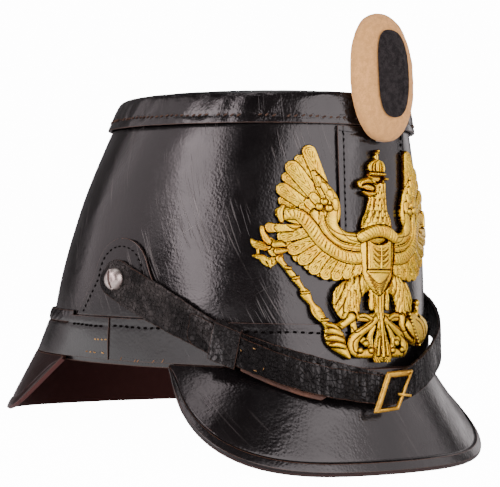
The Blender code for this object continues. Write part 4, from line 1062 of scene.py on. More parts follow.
@dataclass
class Seam:
    """A row of stitches: a thread laid over the leather between two pricked holes.

    Thickness and hole are radii in millimetres, length is a share of the stitch pitch and
    missing is the share of stitches whose thread has gone.
    """

    name: str
    thread: Finish
    thickness: float = 0.32
    length: float = 0.62
    hole: float = 0.36
    missing: float = 0.0
    points: list = field(default_factory=list)
    faces: list = field(default_factory=list)
    holes: list = field(default_factory=list)

    def capsule(self, start: Vector, end: Vector, up: Vector, radius: float) -> None:
        """Add one thread, its ends sunk into the leather."""
        along = end - start
        side = along.cross(up).normalized()
        first, sides = len(self.points), THREAD_SIDES
        for i in range(THREAD_RINGS):
            share = i / (THREAD_RINGS - 1)
            lift = math.sin(math.pi * share) ** 0.6
            centre = start + along * share + up * radius * (1.1 * lift - 0.5)
            size = radius * (0.55 + 0.45 * lift)
            for j in range(sides):
                turn = 2 * math.pi * j / sides
                self.points.append(centre + side * size * math.cos(turn)
                                   + up * size * math.sin(turn))
        for i in range(THREAD_RINGS - 1):
            for j in range(sides):
                a, b = first + i * sides + j, first + i * sides + (j + 1) % sides
                self.faces.append((a, b, b + sides, a + sides))
        self.faces.append(tuple(first + j for j in reversed(range(sides))))
        self.faces.append(tuple(first + (THREAD_RINGS - 1) * sides + j for j in range(sides)))

    def prick(self, spot: Vector, up: Vector, radius: float) -> None:
        """Remember one hole."""
        self.holes.append((spot, up, radius))

    def run(self, ground: Ground, route: Sequence[tuple], rng: np.random.Generator,
            slant: float = 0.0) -> None:
        """Sew along a route.

        Args:
            ground: the leather.
            route: angles and heights, one stitch pitch apart.
            rng: the random source.
            slant: how far each stitch leans across the line, as a share of its length.
        """
        landed = [ground.land(*spot) for spot in route]
        for (spot, up), (after, _) in zip(landed, landed[1:]):
            if spot is None or after is None or (after - spot).length > LONGEST_STEP:
                continue
            step = after - spot
            across = up.cross(step)
            lean = across * (slant + rng.normal(0, 0.05))
            centre = spot + step * (0.5 + rng.normal(0, 0.03))
            half = step * self.length / 2 * (1 + rng.normal(0, 0.08)) + lean
            self.prick(centre - half, up, self.hole)
            self.prick(centre + half, up, self.hole)
            if rng.random() >= self.missing:
                self.capsule(centre - half, centre + half, up, self.thickness * MM)

    def build(self, effects: Effects) -> list:
        """Make the threads, and the holes as a piece of their own."""
        made = []
        if self.points:
            threads = new_mesh_piece(self.name, self.points, self.faces)
            threads.data.shade_smooth()
            made.append(finish_piece(threads, self.thread, effects))
        if self.holes:
            points, faces = self.hole_mesh()
            holes = new_mesh_piece(self.name + "_holes", points, faces)
            # The holes are black: painted shade for their depth.
            made.append(finish_piece(holes, BLACK_THREAD, effects))
        return made

    def hole_mesh(self) -> tuple:
        """Points and faces of the pricked holes, each a small black cone: painted shade for the
        hole's depth.
        """
        points, faces = [], []
        for spot, up, radius in self.holes:
            side = up.orthogonal().normalized()
            other = up.cross(side)
            first = len(points)
            points.append(spot - up * radius * 0.6 * MM)
            for j in range(HOLE_SIDES):
                turn = 2 * math.pi * j / HOLE_SIDES
                points.append(spot + up * 0.05 * MM
                              + (side * math.cos(turn) + other * math.sin(turn)) * radius * MM)
            faces.extend((first, first + 1 + j, first + 1 + (j + 1) % HOLE_SIDES)
                         for j in range(HOLE_SIDES))
        return points, faces


def level_route(start: float, end: float, z: float, pitch: float, wander: float = 0.2) -> list:
    """A route round the crown at one height, angles in degrees."""
    first, last = math.radians(start), math.radians(end)
    length, width, _ = CROWN.oval(z)
    route, angle = [], first
    while angle < last:
        route.append((angle, z + wander * math.sin(angle * 21.0)))
        angle += pitch / math.hypot(width * math.cos(angle), length * math.sin(angle))
    return route


def panel_route(side: int, pitch: float) -> list:
    """A route up one side of the panel."""
    count = int((PANEL_SEAM_TOP - BAND_TOP) / pitch)
    route = []
    for i in range(count + 1):
        z = BAND_TOP + i * pitch
        _, width, _ = CROWN.oval(z)
        route.append((side * math.asin(PANEL_SEAM / width), z))
    return route


def tab_route(side: int, pitch: float, steps: int = 24) -> list:
    """A route inside a side tab's outline: up one flank, round the top and down the other."""
    radius, centre_z = TAB_RADIUS - TAB_SEAM, TAB_CENTRE[1]
    foot = TAB_FOOT[0] + 1.0
    flank = []
    for i in range(steps):
        z = foot + (centre_z - foot) * i / steps
        share = (centre_z - z) / (centre_z - TAB_FOOT[0])
        flank.append((tab_half(share) - TAB_SEAM * 1.12, z))
    rows = list(flank)
    for i in range(steps + 1):
        turn = math.pi * i / steps
        rows.append((radius * math.cos(turn), centre_z + radius * math.sin(turn)))
    rows += [(-half, z) for half, z in reversed(flank)]
    line = np.array(rows)
    run = np.concatenate([[0], np.cumsum(np.hypot(*np.diff(line, axis=0).T))])
    at = np.arange(0, run[-1], pitch)
    route = []
    for across, z in zip(np.interp(at, run, line[:, 0]), np.interp(at, run, line[:, 1])):
        length, _, centre = CROWN.oval(z)
        route.append((side * math.acos((centre - TAB_CENTRE[0] - across) / length), float(z)))
    return route


def sew(ground: Ground, effects: Effects) -> None:
    """Sew every seam of the hat."""
    rng = np.random.default_rng(7)
    rim = Seam("lid_rim_stitches", BROWN_THREAD, thickness=0.44, length=0.58, hole=0.80,
               missing=0.15)
    rim.run(ground, level_route(-178.0, 178.0, RIM_SEAM_Z, 3.3), rng, slant=0.18)
    rim.build(effects)
    band = Seam("band_stitches", BLACK_THREAD, thickness=0.55, length=0.62, hole=0.72)
    band.run(ground, level_route(-83.0, 83.0, BAND_SEAM_Z, 3.6), rng)
    for start, end in ((-101.5, -85.2), (85.2, 101.5)):
        band.run(ground, level_route(start, end, BAND_SEAM_Z - 0.3, 3.9), rng)
    band.build(effects)
    sides = Seam("panel_stitches", BLACK_THREAD, thickness=0.34, length=0.56, hole=0.42)
    for side in (-1, 1):
        sides.run(ground, panel_route(side, 3.1), rng)
        sides.run(ground, tab_route(side, 3.0), rng)
    sides.build(effects)
    foot = Seam("band_foot_stitches", YELLOW_THREAD, thickness=0.34, length=0.55, hole=0.3,
                missing=0.2)
    foot.run(ground, level_route(-94.0, -84.2, 3.2, 3.2), rng)
    foot.run(ground, level_route(-90.0, -84.2, 9.6, 2.6), rng)
    foot.build(effects)
    fringe = Seam("lining_fibres", TAN_THREAD, thickness=0.20, length=0.8, hole=0.15, missing=0.6)
    fringe.run(ground, level_route(-80.0, -66.0, 0.7, 1.7, 0.4), rng, slant=0.5)
    fringe.build(effects)


def sew_strap(ground: Ground, effects: Effects) -> None:
    """Sew the box of stitches, partly worn away, that once held the strap's loop."""
    rng = np.random.default_rng(11)
    box = Seam("strap_box_stitches", YELLOW_THREAD, thickness=0.20, length=0.5, hole=0.34,
               missing=0.65)
    first, last = STRAP_BOX
    for angle in STRAP_BOX:
        turn = math.radians(angle)
        middle = float(strap_line(turn))
        box.run(ground, [(turn, middle + rise) for rise in np.arange(-5.2, 5.3, 1.9)], rng)
    for rise in (-5.0, 5.0):
        turns = np.radians(np.linspace(first, last, 5))
        box.run(ground, [(float(turn), float(strap_line(turn)) + rise) for turn in turns], rng)
    # The strap's holes, shown as black discs of painted shade.
    for angle, rise in STRAP_HOLES:
        spot, up = ground.land(math.radians(angle), float(strap_line(math.radians(angle))) + rise)
        if spot is not None:
            box.prick(spot, up, STRAP_HOLE_RADIUS)
    box.build(effects)


# ---------- the raised eagle

class Form(Enum):
    """How a stroke of the relief is raised."""

    ROUND = "round"
    FLAT = "flat"
    FEATHER = "feather"
    RIBBON = "ribbon"
    BAND = "band"
    TUFT = "tuft"


@dataclass(frozen=True)
class Stroke:
    """A raised stroke: (across, up, half width) rows, its height and how it is raised."""

    points: tuple
    height: float
    form: Form = Form.ROUND
    mirrored: bool = True
    lying: bool = False


lone = partial(Stroke, mirrored=False)
laid = partial(Stroke, mirrored=False, lying=True)


class Near(NamedTuple):
    """The part of the relief's grid near a stroke, measured from the stroke's middle line."""

    at: tuple
    outside: Array
    along: Array
    side: Array
    half: Array
    length: float

    def share(self) -> Array:
        """How far from the middle line (0) to the stroke's edge (1) each point lies."""
        share = np.clip(np.abs(self.side) / self.half, 0.0, 1.0)
        end = np.clip((self.outside + self.half) / self.half, 0, 1)
        return np.where(self.outside < 0, np.maximum(share, end), 1.0)


def steep(q: Array, slope: float) -> Array:
    """A steep side up to a flat top."""
    return np.minimum((1 - q) * slope, 1)


def round_form(near: Near, q: Array, low: Array, span: Array) -> tuple:
    """A half round."""
    return low + span * np.sqrt(1 - q ** 2), 0.0


def tuft_form(near: Near, q: Array, low: Array, span: Array) -> tuple:
    """A half round with grooves along it."""
    body, _ = round_form(near, q, low, span)
    return body, 0.22 * np.cos(near.side * 2 * math.pi / 0.9)


def flat_form(near: Near, q: Array, low: Array, span: Array) -> tuple:
    """A flat top."""
    return low + span * steep(q, 5), 0.0


def feather_form(near: Near, q: Array, low: Array, span: Array) -> tuple:
    """A feather with a shaft, slanting barbs and a raised rim."""
    body = low + span * (0.62 + 0.38 * np.sqrt(1 - q ** 2)) * steep(q, 8)
    inner = near.half * (1 - q)
    shaft = 0.26 * bell(near.side, 0.30) * smooth((near.length - near.along) / 2.0)
    barbs = 0.17 * np.cos(2 * math.pi * (near.along * 0.30 - np.abs(near.side)) / 1.0)
    rim = 0.20 * bell(inner - 0.35, 0.22)
    rim -= 0.22 * bell(inner - 0.85, 0.22)
    return body, shaft + barbs * smooth((inner - 1.0) / 0.5) + rim * (near.half > 1.8)


def ribbon_form(near: Near, q: Array, low: Array, span: Array) -> tuple:
    """A ribbon with a line along each edge and short marks across it."""
    body = low + span * (1 - 0.25 * q ** 2) * steep(q, 7)
    inner = near.half - np.abs(near.side)
    swing = near.along + 0.3 * near.side + 0.35 * np.sin(near.along * 0.83)
    mark = np.maximum(np.cos(2 * math.pi * swing / 1.75), 0) ** 3
    mark *= smooth((inner - 1.0) / 0.4)
    return body, -0.40 * bell(inner - 0.70, 0.25) - 0.34 * mark


def band_form(near: Near, q: Array, low: Array, span: Array) -> tuple:
    """A band with two lines along each edge, bars between them and a ridge down the middle."""
    body = low + span * (1 - 0.3 * q ** 2) * steep(q, 7)
    inner = near.half - np.abs(near.side)
    extra = -0.40 * bell(inner - 0.8, 0.25)
    extra -= 0.30 * bell(inner - 1.7, 0.22)
    bar = np.maximum(np.cos(2 * math.pi * near.along / 1.5), 0) ** 2
    extra += 0.20 * bar * bell(inner - 1.25, 0.3)
    extra += 0.25 * bell(near.side, 0.8)
    return body, extra


FORMS = {Form.ROUND: round_form, Form.TUFT: tuft_form, Form.FLAT: flat_form,
         Form.FEATHER: feather_form, Form.RIBBON: ribbon_form, Form.BAND: band_form}


# How far the plate stands off the crown's leather over the panel, beside it and on the band.
OFF_PANEL = 2.3
OFF_CROWN = 1.2
OFF_BAND = 3.0
PLATE_PANEL_EDGE = 24.7
# Heights, and how far the neck and head are pushed to the wearer's left there.
NECK_PUSH = ((40.0, 50.0, 62.0, 70.0, 105.0), (0.0, 0.9, 1.2, 1.9, 2.1))


@dataclass
class Relief:
    """A height field over the flat plate, built up stroke by stroke."""

    low: tuple = (-62.0, 3.0)
    high: tuple = (52.4, 105.0)
    pitch: float = 0.30
    sheet: float = 1.1
    step: float = 0.15
    shift: float = -4.0
    # The dark outline at each stroke's foot is dirt and painted shade: its width, and its strength
    # on strokes and on the plate.
    outline: float = 0.30
    line_on_stroke: float = 0.2
    line_on_plate: float = 0.6
    press: float = 0.18
    back: float = 0.05
    snap_reach: float = 0.3
    edge_drop: float = 0.12
    crease: float = math.radians(62)

    def __post_init__(self) -> None:
        """Start with an empty plate."""
        self.cells = tuple(int(round((b - a) / self.pitch)) for a, b in zip(self.low, self.high))
        xs = self.low[0] + self.pitch * np.arange(self.cells[0] + 1)
        ys = self.low[1] + self.pitch * np.arange(self.cells[1] + 1)
        self.x, self.y = np.meshgrid(xs, ys)
        self.rise = np.full(self.x.shape, self.sheet)
        self.shore = np.full(self.x.shape, 9.0)
        self.dark = np.zeros(self.x.shape)
        self.ground = self.rise.copy()

    def settle(self) -> None:
        """Take the relief so far as the ground of the strokes that lie on it."""
        self.ground = self.rise.copy()

    def window(self, rows: Array, margin: float) -> tuple:
        """The part of the grid near a stroke."""
        reach = rows[:, 2].max() + margin
        lows = (rows[:, :2].min(0) - reach - np.array(self.low)) / self.pitch
        highs = (rows[:, :2].max(0) + reach - np.array(self.low)) / self.pitch
        x0, y0 = (max(int(v), 0) for v in lows)
        x1, y1 = (min(int(v) + 2, n + 1) for v, n in zip(highs, self.cells))
        return slice(y0, y1), slice(x0, x1)

    @staticmethod
    def smooth_rows(points: Sequence[tuple], steps: int = 6) -> Array:
        """Rows of a smooth curve through the given rows."""
        rows = np.array(points, float)
        if len(rows) < 3:
            return rows
        padded = np.concatenate([2 * rows[:1] - rows[1:2], rows, 2 * rows[-1:] - rows[-2:-1]])
        made = []
        for a, b, c, d in zip(padded, padded[1:], padded[2:], padded[3:]):
            for t in np.arange(steps) / steps:
                made.append(0.5 * (2 * b + (c - a) * t + (2 * a - 5 * b + 4 * c - d) * t ** 2
                                   + (3 * b - a - 3 * c + d) * t ** 3))
        made.append(rows[-1])
        return np.array(made)

    def measure(self, rows: Array, margin: float = 1.5, square: bool = False) -> Near:
        """Measure the grid near a stroke.

        Args:
            rows: the stroke's middle line with half widths.
            margin: how far outside the stroke to measure.
            square: cut the stroke off square at its ends instead of rounding them.

        Returns:
            The measured window; distances inside the stroke are negative.
        """
        at = self.window(rows, margin)
        x, y = self.x[at], self.y[at]
        best = np.full(x.shape, 1e9)
        along, side, half = (np.zeros(x.shape) for _ in range(3))
        walked = 0.0
        last = len(rows) - 2
        for k, ((ax, ay, aw), (bx, by, bw)) in enumerate(zip(rows, rows[1:])):
            dx, dy = bx - ax, by - ay
            run = math.hypot(dx, dy) or 1e-6
            free = ((x - ax) * dx + (y - ay) * dy) / run ** 2
            t = np.clip(free, 0.0, 1.0)
            away = np.hypot(x - ax - t * dx, y - ay - t * dy)
            width = aw + (bw - aw) * t
            depth = away - width
            if square and k in (0, last):
                off = np.abs(dx * (y - ay) - dy * (x - ax)) / run
                for cut, beyond in ((k == 0, -free * run), (k == last, (free - 1) * run)):
                    if cut:
                        away = np.where(beyond > 0, off, away)
                        depth = np.where(beyond > 0, np.maximum(off - width, beyond), depth)
            nearer = depth < best
            best = np.where(nearer, depth, best)
            along = np.where(nearer, walked + t * run, along)
            side = np.where(nearer, np.sign(dx * (y - ay) - dy * (x - ax)) * away, side)
            half = np.where(nearer, width, half)
            walked += run
        return Near(at, best, along, side, np.maximum(half, 0.05), walked)

    def lay(self, stroke: Stroke) -> None:
        """Lay a stroke, and its mirror image where it has one."""
        for way in ((1, -1) if stroke.mirrored else (1,)):
            rows = self.smooth_rows(stroke.points)
            rows[:, 0] *= way
            near = self.measure(rows, square=stroke.form is not Form.FEATHER)
            low = self.ground[near.at] if stroke.lying else self.sheet + self.step
            span = stroke.height if stroke.lying else stroke.height - low
            body, marks = FORMS[stroke.form](near, near.share(), low, span)
            self.rise[near.at] = np.where(near.outside < 0, body + marks, self.rise[near.at])
            self.darken(near, self.line_on_stroke if stroke.lying else self.line_on_plate)
            if not stroke.lying:
                self.shore[near.at] = np.minimum(self.shore[near.at], near.outside)

    def darken(self, near: Near, strength: float = 1.0) -> None:
        """Draw a stroke's dark outline, dirt and painted shade at its foot, and hide what it
        covers.
        """
        line = np.clip(1 - np.abs(near.outside) / self.outline, 0, 1) * strength
        covered = near.outside < 0
        self.dark[near.at] = np.where(covered, line, np.maximum(self.dark[near.at], line))

    def bead(self, x: float, y: float, radius: float, height: float) -> None:
        """Raise a small round bead."""
        near = self.measure(np.array([(x, y, radius), (x + 0.01, y, radius)]))
        q = np.clip((near.outside + radius) / radius, 0, 1)
        ball = np.maximum(height - radius + radius * np.sqrt(1 - q ** 2), self.sheet)
        self.rise[near.at] = np.where(near.outside < 0, ball, self.rise[near.at])
        self.darken(near)
        self.shore[near.at] = np.minimum(self.shore[near.at], near.outside)

    def engrave(self, points: Sequence[tuple], depth: float, width: float = 0.3,
                both: bool = True) -> None:
        """Cut (or, with a negative depth, raise) a thin line."""
        for way in ((1, -1) if both else (1,)):
            rows = self.smooth_rows([(px, py, width) for px, py in points])
            rows[:, 0] *= way
            near = self.measure(rows)
            line = bell(np.maximum(near.outside + width, 0), width)
            self.rise[near.at] -= depth * line
            # A cut line is darkened too: dirt and painted shade in its groove.
            if depth > 0:
                self.dark[near.at] = np.maximum(self.dark[near.at], line)

    def blurred(self, values: Array, reach: float) -> Array:
        """A field blurred by a bell of the given reach."""
        count = int(math.ceil(2.5 * reach / self.pitch))
        offsets = np.arange(-count, count + 1) * self.pitch
        weights = bell(offsets, reach)
        weights /= weights.sum()
        for axis in (0, 1):
            values = np.apply_along_axis(lambda row: np.convolve(
                np.pad(row, count, mode="edge"), weights, mode="valid"), axis, values)
        return values

    def bend(self, x: Array, height: Array, out: Array) -> Array:
        """Lay flat points of the plate on the front of the crown."""
        # the wearer's left wing leans inwards above the ribbon
        lean = 1.6 * smooth((height - 62.0) / 8.0) + 0.3 * np.maximum(height - 80.0, 0.0)
        x = np.where(x > 0, x - lean * smooth((x - 8.0) / 8.0), x)
        push = np.interp(height, *NECK_PUSH)
        x = x + push * np.exp(-((x + 1.0) / 14.0) ** 4)
        past_panel = smooth((np.abs(x + self.shift) - PLATE_PANEL_EDGE) / 8.0)
        off = OFF_PANEL + (OFF_CROWN - OFF_PANEL) * past_panel
        off += (OFF_BAND - off) * np.clip((27.0 - height) / 5.0, 0.0, 1.0)
        angle = CROWN.angle_at_arc(x + self.shift, height)
        return CROWN.place(angle, height, off + out)

    def build(self, name: str) -> Piece:
        """Turn the height field into the bent plate."""
        bpy.ops.mesh.primitive_grid_add(x_subdivisions=self.cells[0],
                                        y_subdivisions=self.cells[1], size=1.0)
        piece = bpy.context.active_object
        piece.name = piece.data.name = name
        mesh = piece.data
        self.lay_field(mesh)
        self.choose_outside(mesh)
        select_only(piece)
        set_mode("EDIT")
        bpy.ops.mesh.select_mode(type="FACE")
        bpy.ops.mesh.delete(type="FACE")
        bpy.ops.mesh.select_mode(type="EDGE")
        bpy.ops.mesh.select_non_manifold(extend=False)
        set_mode("OBJECT")
        self.snap_shore(mesh)
        set_mode("EDIT")
        bpy.ops.mesh.extrude_edges_move()
        set_mode("OBJECT")
        self.bend_plate(mesh)
        set_mode("EDIT")
        bpy.ops.mesh.select_all(action="SELECT")
        bpy.ops.mesh.normals_make_consistent(inside=False)
        bpy.ops.mesh.select_all(action="DESELECT")
        set_mode("OBJECT")
        bpy.ops.object.shade_smooth_by_angle(angle=self.crease)
        return piece

    def lay_field(self, mesh: Mesh) -> None:
        """Give a square grid the field's places, heights and measures."""
        hollow = self.blurred(self.rise, 1.1) - self.rise
        fine = self.blurred(self.rise, 0.45) - self.rise
        rising_y, rising_x = np.gradient(self.shore, self.pitch)
        # The recess measure also grows towards the plate's foot, below 34 mm, so the plate turns
        # browner there.
        recess = np.clip(1.3 * hollow + 2.8 * fine, 0, 1) + 0.22 * smooth((34.0 - self.y) / 20.0)
        recess += 0.55 * self.dark
        edge = np.clip(-1.6 * fine - 0.4 * hollow, 0, 1)
        spots = vertex_array(mesh)
        column = np.rint((spots[:, 0] + 0.5) * self.cells[0]).astype(int)
        row = np.rint((spots[:, 1] + 0.5) * self.cells[1]).astype(int)
        flat = np.stack([self.x[row, column], self.y[row, column], self.rise[row, column]], 1)
        set_vertices(mesh, flat)
        for label, values in (("recess", recess), ("edge", edge), ("shore", self.shore),
                              ("shore_x", rising_x), ("shore_y", rising_y)):
            set_attribute(mesh, label, values[row, column])

    def choose_outside(self, mesh: Mesh) -> None:
        """Select the faces that lie outside the plate's outline, and nothing else."""
        shore = read_attribute(mesh, "shore")[corner_vertices(mesh)].reshape(-1, 4)
        mesh.polygons.foreach_set("select", shore.mean(1) > 0.12 * self.pitch)
        mesh.edges.foreach_set("select", np.zeros(len(mesh.edges), bool))
        mesh.vertices.foreach_set("select", np.zeros(len(mesh.vertices), bool))

    def snap_shore(self, mesh: Mesh) -> None:
        """Move the selected edge points onto the plate's true outline."""
        flat, chosen = vertex_array(mesh), chosen_vertices(mesh)
        depth, dx, dy = (read_attribute(mesh, name) for name in ("shore", "shore_x", "shore_y"))
        slope_square = np.maximum(dx ** 2 + dy ** 2, 0.2)
        for k, slope in enumerate((dx, dy)):
            step = np.clip(depth * slope / slope_square, -self.snap_reach, self.snap_reach)
            flat[chosen, k] -= step[chosen]
        flat[chosen, 2] -= self.edge_drop
        set_vertices(mesh, flat)

    def bend_plate(self, mesh: Mesh) -> None:
        """Drop the selected wall points to the plate's back, bend all and lay the UV map."""
        flat = vertex_array(mesh)
        flat[chosen_vertices(mesh), 2] = self.back
        raised = np.maximum(flat[:, 2] - self.sheet, 0.0)
        set_vertices(mesh, self.bend(flat[:, 0], flat[:, 1], flat[:, 2] - self.press * raised))
        layer = mesh.uv_layers.active or mesh.uv_layers.new(name="follow")
        flat_map = flat[corner_vertices(mesh)][:, :2] * MM
        layer.data.foreach_set("uv", flat_map.astype(np.float32).ravel())


# Feathers of one wing as (root, tip, half width), the small ones that show between the large
# ones first.
SMALL_FEATHERS = (
    ((26.4, 78.0), (38.6, 98.6), 2.8), ((28.6, 74.4), (45.4, 89.8), 2.7),
    ((30.0, 69.6), (48.0, 78.2), 2.5), ((30.0, 60.0), (47.2, 56.2), 2.6),
    ((27.0, 58.0), (42.6, 50.2), 2.6), ((24.0, 56.0), (37.4, 46.0), 2.6),
    ((21.0, 55.0), (31.8, 42.6), 2.5), ((17.6, 54.0), (26.8, 41.6), 2.4),
    ((15.0, 52.0), (21.2, 41.2), 2.4), ((12.0, 50.0), (16.6, 41.4), 2.2),
)
LARGE_FEATHERS = (
    ((30.0, 66.0), (50.0, 72.6), 3.2), ((30.0, 71.0), (48.5, 84.4), 3.4),
    ((27.6, 75.4), (43.2, 95.6), 3.7), ((25.4, 79.4), (34.2, 103.6), 3.5),
    ((30.0, 64.0), (49.6, 60.0), 2.9), ((28.0, 61.0), (45.2, 53.6), 3.1),
    ((26.0, 58.0), (40.4, 48.4), 3.1), ((23.0, 57.0), (34.9, 43.6), 3.1),
    ((19.0, 55.0), (29.2, 41.2), 3.0), ((16.4, 54.0), (24.0, 40.6), 2.8),
    ((13.0, 52.0), (18.8, 41.4), 2.5), ((10.0, 50.0), (13.8, 42.0), 2.3),
)
COVERTS = (
    ((29.8, 71.0), (39.2, 75.4), 2.1), ((29.6, 71.7), (36.2, 78.2), 2.2),
    ((28.4, 75.0), (33.6, 81.2), 2.2), ((24.7, 77.6), (30.6, 86.6), 2.3),
)


def feather(root: tuple, tip: tuple, half: float, height: float) -> Stroke:
    """A feather with a rounded tip."""
    root_at, tip_at = np.array(root, float), np.array(tip, float)
    way = (tip_at - root_at) / np.linalg.norm(tip_at - root_at)
    rows = [(*root_at, half * 0.8), (*(tip_at - way * half * 1.6), half)]
    rows.append((*(tip_at - way * half * 0.95), half * 0.93))
    return Stroke(tuple(rows), height, Form.FEATHER)


WING = (
    # shoulder and arm
    Stroke(((32.0, 91.4, 1.3), (28.4, 85.4, 3.0), (24.4, 78.6, 4.2), (23.4, 72.4, 4.2),
            (24.0, 66.4, 3.4), (18.8, 61.2, 3.2), (9.0, 59.8, 3.6)), 3.3),
    Stroke(((31.8, 72.6, 2.6), (30.0, 66.6, 3.0), (26.0, 60.6, 2.8), (20.0, 57.0, 2.4),
            (9.0, 54.6, 2.4)), 2.7),
    Stroke(((28.5, 72.6, 1.0), (28.5, 67.6, 1.6), (27.0, 63.8, 1.7), (24.2, 60.2, 1.7),
            (19.8, 57.4, 1.7), (13.0, 56.2, 1.7), (8.0, 56.2, 1.7)), 3.1, Form.BAND),
    # ribbon, its swallow-tailed end and its fold
    Stroke(((52.6, 64.7, 2.7), (50.4, 64.5, 2.3), (45.4, 64.7, 2.0), (42.0, 65.0, 2.0)), 2.4,
           Form.FLAT),
    Stroke(((44.6, 66.1, 0.4), (41.4, 65.4, 1.4), (38.2, 65.8, 0.4)), 3.0),
    Stroke(((47.0, 70.9, 3.2), (44.0, 71.4, 2.9), (40.6, 71.4, 2.9), (37.2, 69.5, 3.2),
            (33.6, 65.2, 3.4), (29.6, 59.6, 3.3), (24.0, 54.8, 3.1), (17.0, 51.8, 3.1),
            (7.0, 51.6, 3.1)), 3.3, Form.RIBBON),
    Stroke(((46.0, 75.0, 1.0), (47.6, 71.8, 1.7), (47.0, 67.4, 1.2)), 3.7),
)
TAIL = (
    Stroke(((4.0, 41.6, 4.2), (12.2, 37.8, 5.0), (17.2, 33.0, 7.0), (17.4, 28.0, 6.2),
            (16.4, 23.4, 2.8)), 3.0),
    Stroke(((1.4, 24.4, 1.9), (6.0, 23.6, 1.9), (13.0, 23.9, 2.1)), 2.5),
    Stroke(((14.6, 15.6, 1.9), (15.0, 19.6, 1.7), (15.8, 22.8, 2.0)), 2.3),
    Stroke(((12.6, 14.8, 1.5), (9.0, 12.0, 2.0), (6.4, 12.4, 0.8)), 2.5),
    Stroke(((2.0, 23.8, 1.7), (5.2, 20.8, 1.9), (8.6, 18.6, 2.0), (12.2, 16.4, 2.3),
            (15.2, 13.4, 2.8), (15.8, 9.8, 3.0), (14.0, 7.4, 2.6), (11.4, 7.0, 2.0)), 2.9),
    Stroke(((13.6, 6.4, 1.8), (8.0, 6.9, 2.4), (2.0, 7.1, 2.6)), 2.6),
    Stroke(((3.8, 19.6, 0.8), (6.4, 15.6, 1.6), (7.2, 11.6, 2.0), (5.4, 8.4, 1.2)), 2.5,
           Form.FEATHER),
    Stroke(((3.4, 39.0, 2.0), (4.4, 32.0, 1.9), (4.8, 28.0, 1.2)), 3.0, Form.FEATHER),
    Stroke(((5.0, 22.9, 1.0), (8.6, 24.6, 1.2), (12.0, 24.6, 1.2)), 2.8),
)
MIDDLE = (
    lone(((0.0, 38.0, 4.4), (0.0, 30.0, 3.4), (0.0, 25.0, 2.6), (0.0, 22.6, 1.9),
          (0.0, 16.0, 3.0), (0.0, 9.6, 5.2), (0.0, 5.2, 6.0)), 3.1, Form.TUFT),
    lone(((0.0, 38.0, 1.0), (0.0, 22.0, 0.8), (0.0, 12.0, 1.0), (0.0, 5.4, 1.5)), 3.7),
    Stroke(((1.6, 15.0, 0.5), (2.6, 9.0, 0.9), (3.0, 5.8, 1.2)), 3.3),
    lone(((0.0, 72.0, 5.8), (0.0, 65.0, 9.6), (0.0, 57.0, 10.8), (0.0, 48.0, 9.8),
          (0.0, 44.0, 8.6), (0.0, 34.2, 0.8)), 3.9),
    lone(((0.0, 44.9, 7.6), (0.0, 59.6, 8.0)), 4.3, Form.FLAT),
    # neck and head, bent a little towards the wearer's right
    lone(((-0.8, 66.0, 9.4), (-1.0, 70.0, 7.4), (-1.0, 74.0, 6.2), (-0.8, 78.0, 5.5),
          (-0.8, 82.0, 5.1), (-1.2, 86.0, 5.4), (-1.2, 90.2, 5.6)), 4.1),
)
HEAD = (
    lone(((-3.6, 84.3, 1.6), (-7.6, 85.2, 1.5), (-9.8, 84.9, 0.7)), 3.7),
    lone(((-3.4, 82.0, 1.3), (-7.2, 81.8, 1.1), (-9.6, 82.7, 0.5)), 4.3),
    lone(((-2.4, 88.2, 1.9), (-7.0, 88.2, 1.6), (-10.2, 87.3, 1.4), (-11.3, 85.6, 0.9),
          (-11.0, 84.4, 0.3)), 4.9),
    lone(((-6.8, 89.4, 0.8), (-2.0, 89.5, 1.1), (4.6, 89.2, 0.9)), 4.8),
    # crown
    lone(((-1.4, 90.6, 3.9), (-1.4, 92.6, 4.4), (-1.4, 93.8, 4.9), (-1.4, 94.4, 4.2)), 1.9,
         Form.FLAT),
    lone(((-1.4, 91.0, 0.7), (-1.4, 94.8, 0.9), (-1.4, 98.2, 0.7)), 4.1),
    lone(((-4.8, 91.4, 0.7), (-5.6, 94.4, 0.8), (-4.4, 96.8, 0.7), (-2.0, 97.9, 0.6)), 3.8),
    lone(((2.0, 91.4, 0.7), (2.8, 94.4, 0.8), (1.6, 96.8, 0.7), (-0.8, 97.9, 0.6)), 3.8),
    lone(((-3.1, 92.0, 0.45), (-3.6, 94.8, 0.55), (-2.7, 97.0, 0.45)), 3.5),
    lone(((0.3, 92.0, 0.45), (0.8, 94.8, 0.55), (-0.1, 97.0, 0.45)), 3.5),
    lone(((-5.9, 91.4, 1.0), (3.1, 91.4, 1.0)), 4.3),
    lone(((-1.3, 98.0, 0.6), (-1.3, 99.4, 1.1), (-1.3, 100.6, 0.6), (-1.3, 102.6, 0.6)), 3.4),
    lone(((-2.6, 101.3, 0.5), (0.0, 101.3, 0.5)), 3.5),
    # ribbon over the chest
    lone(((-10.8, 61.2, 3.0), (-5.4, 63.6, 3.3), (0.0, 64.5, 3.3), (5.4, 63.6, 3.3),
          (10.8, 61.2, 3.0)), 4.9, Form.RIBBON),
)
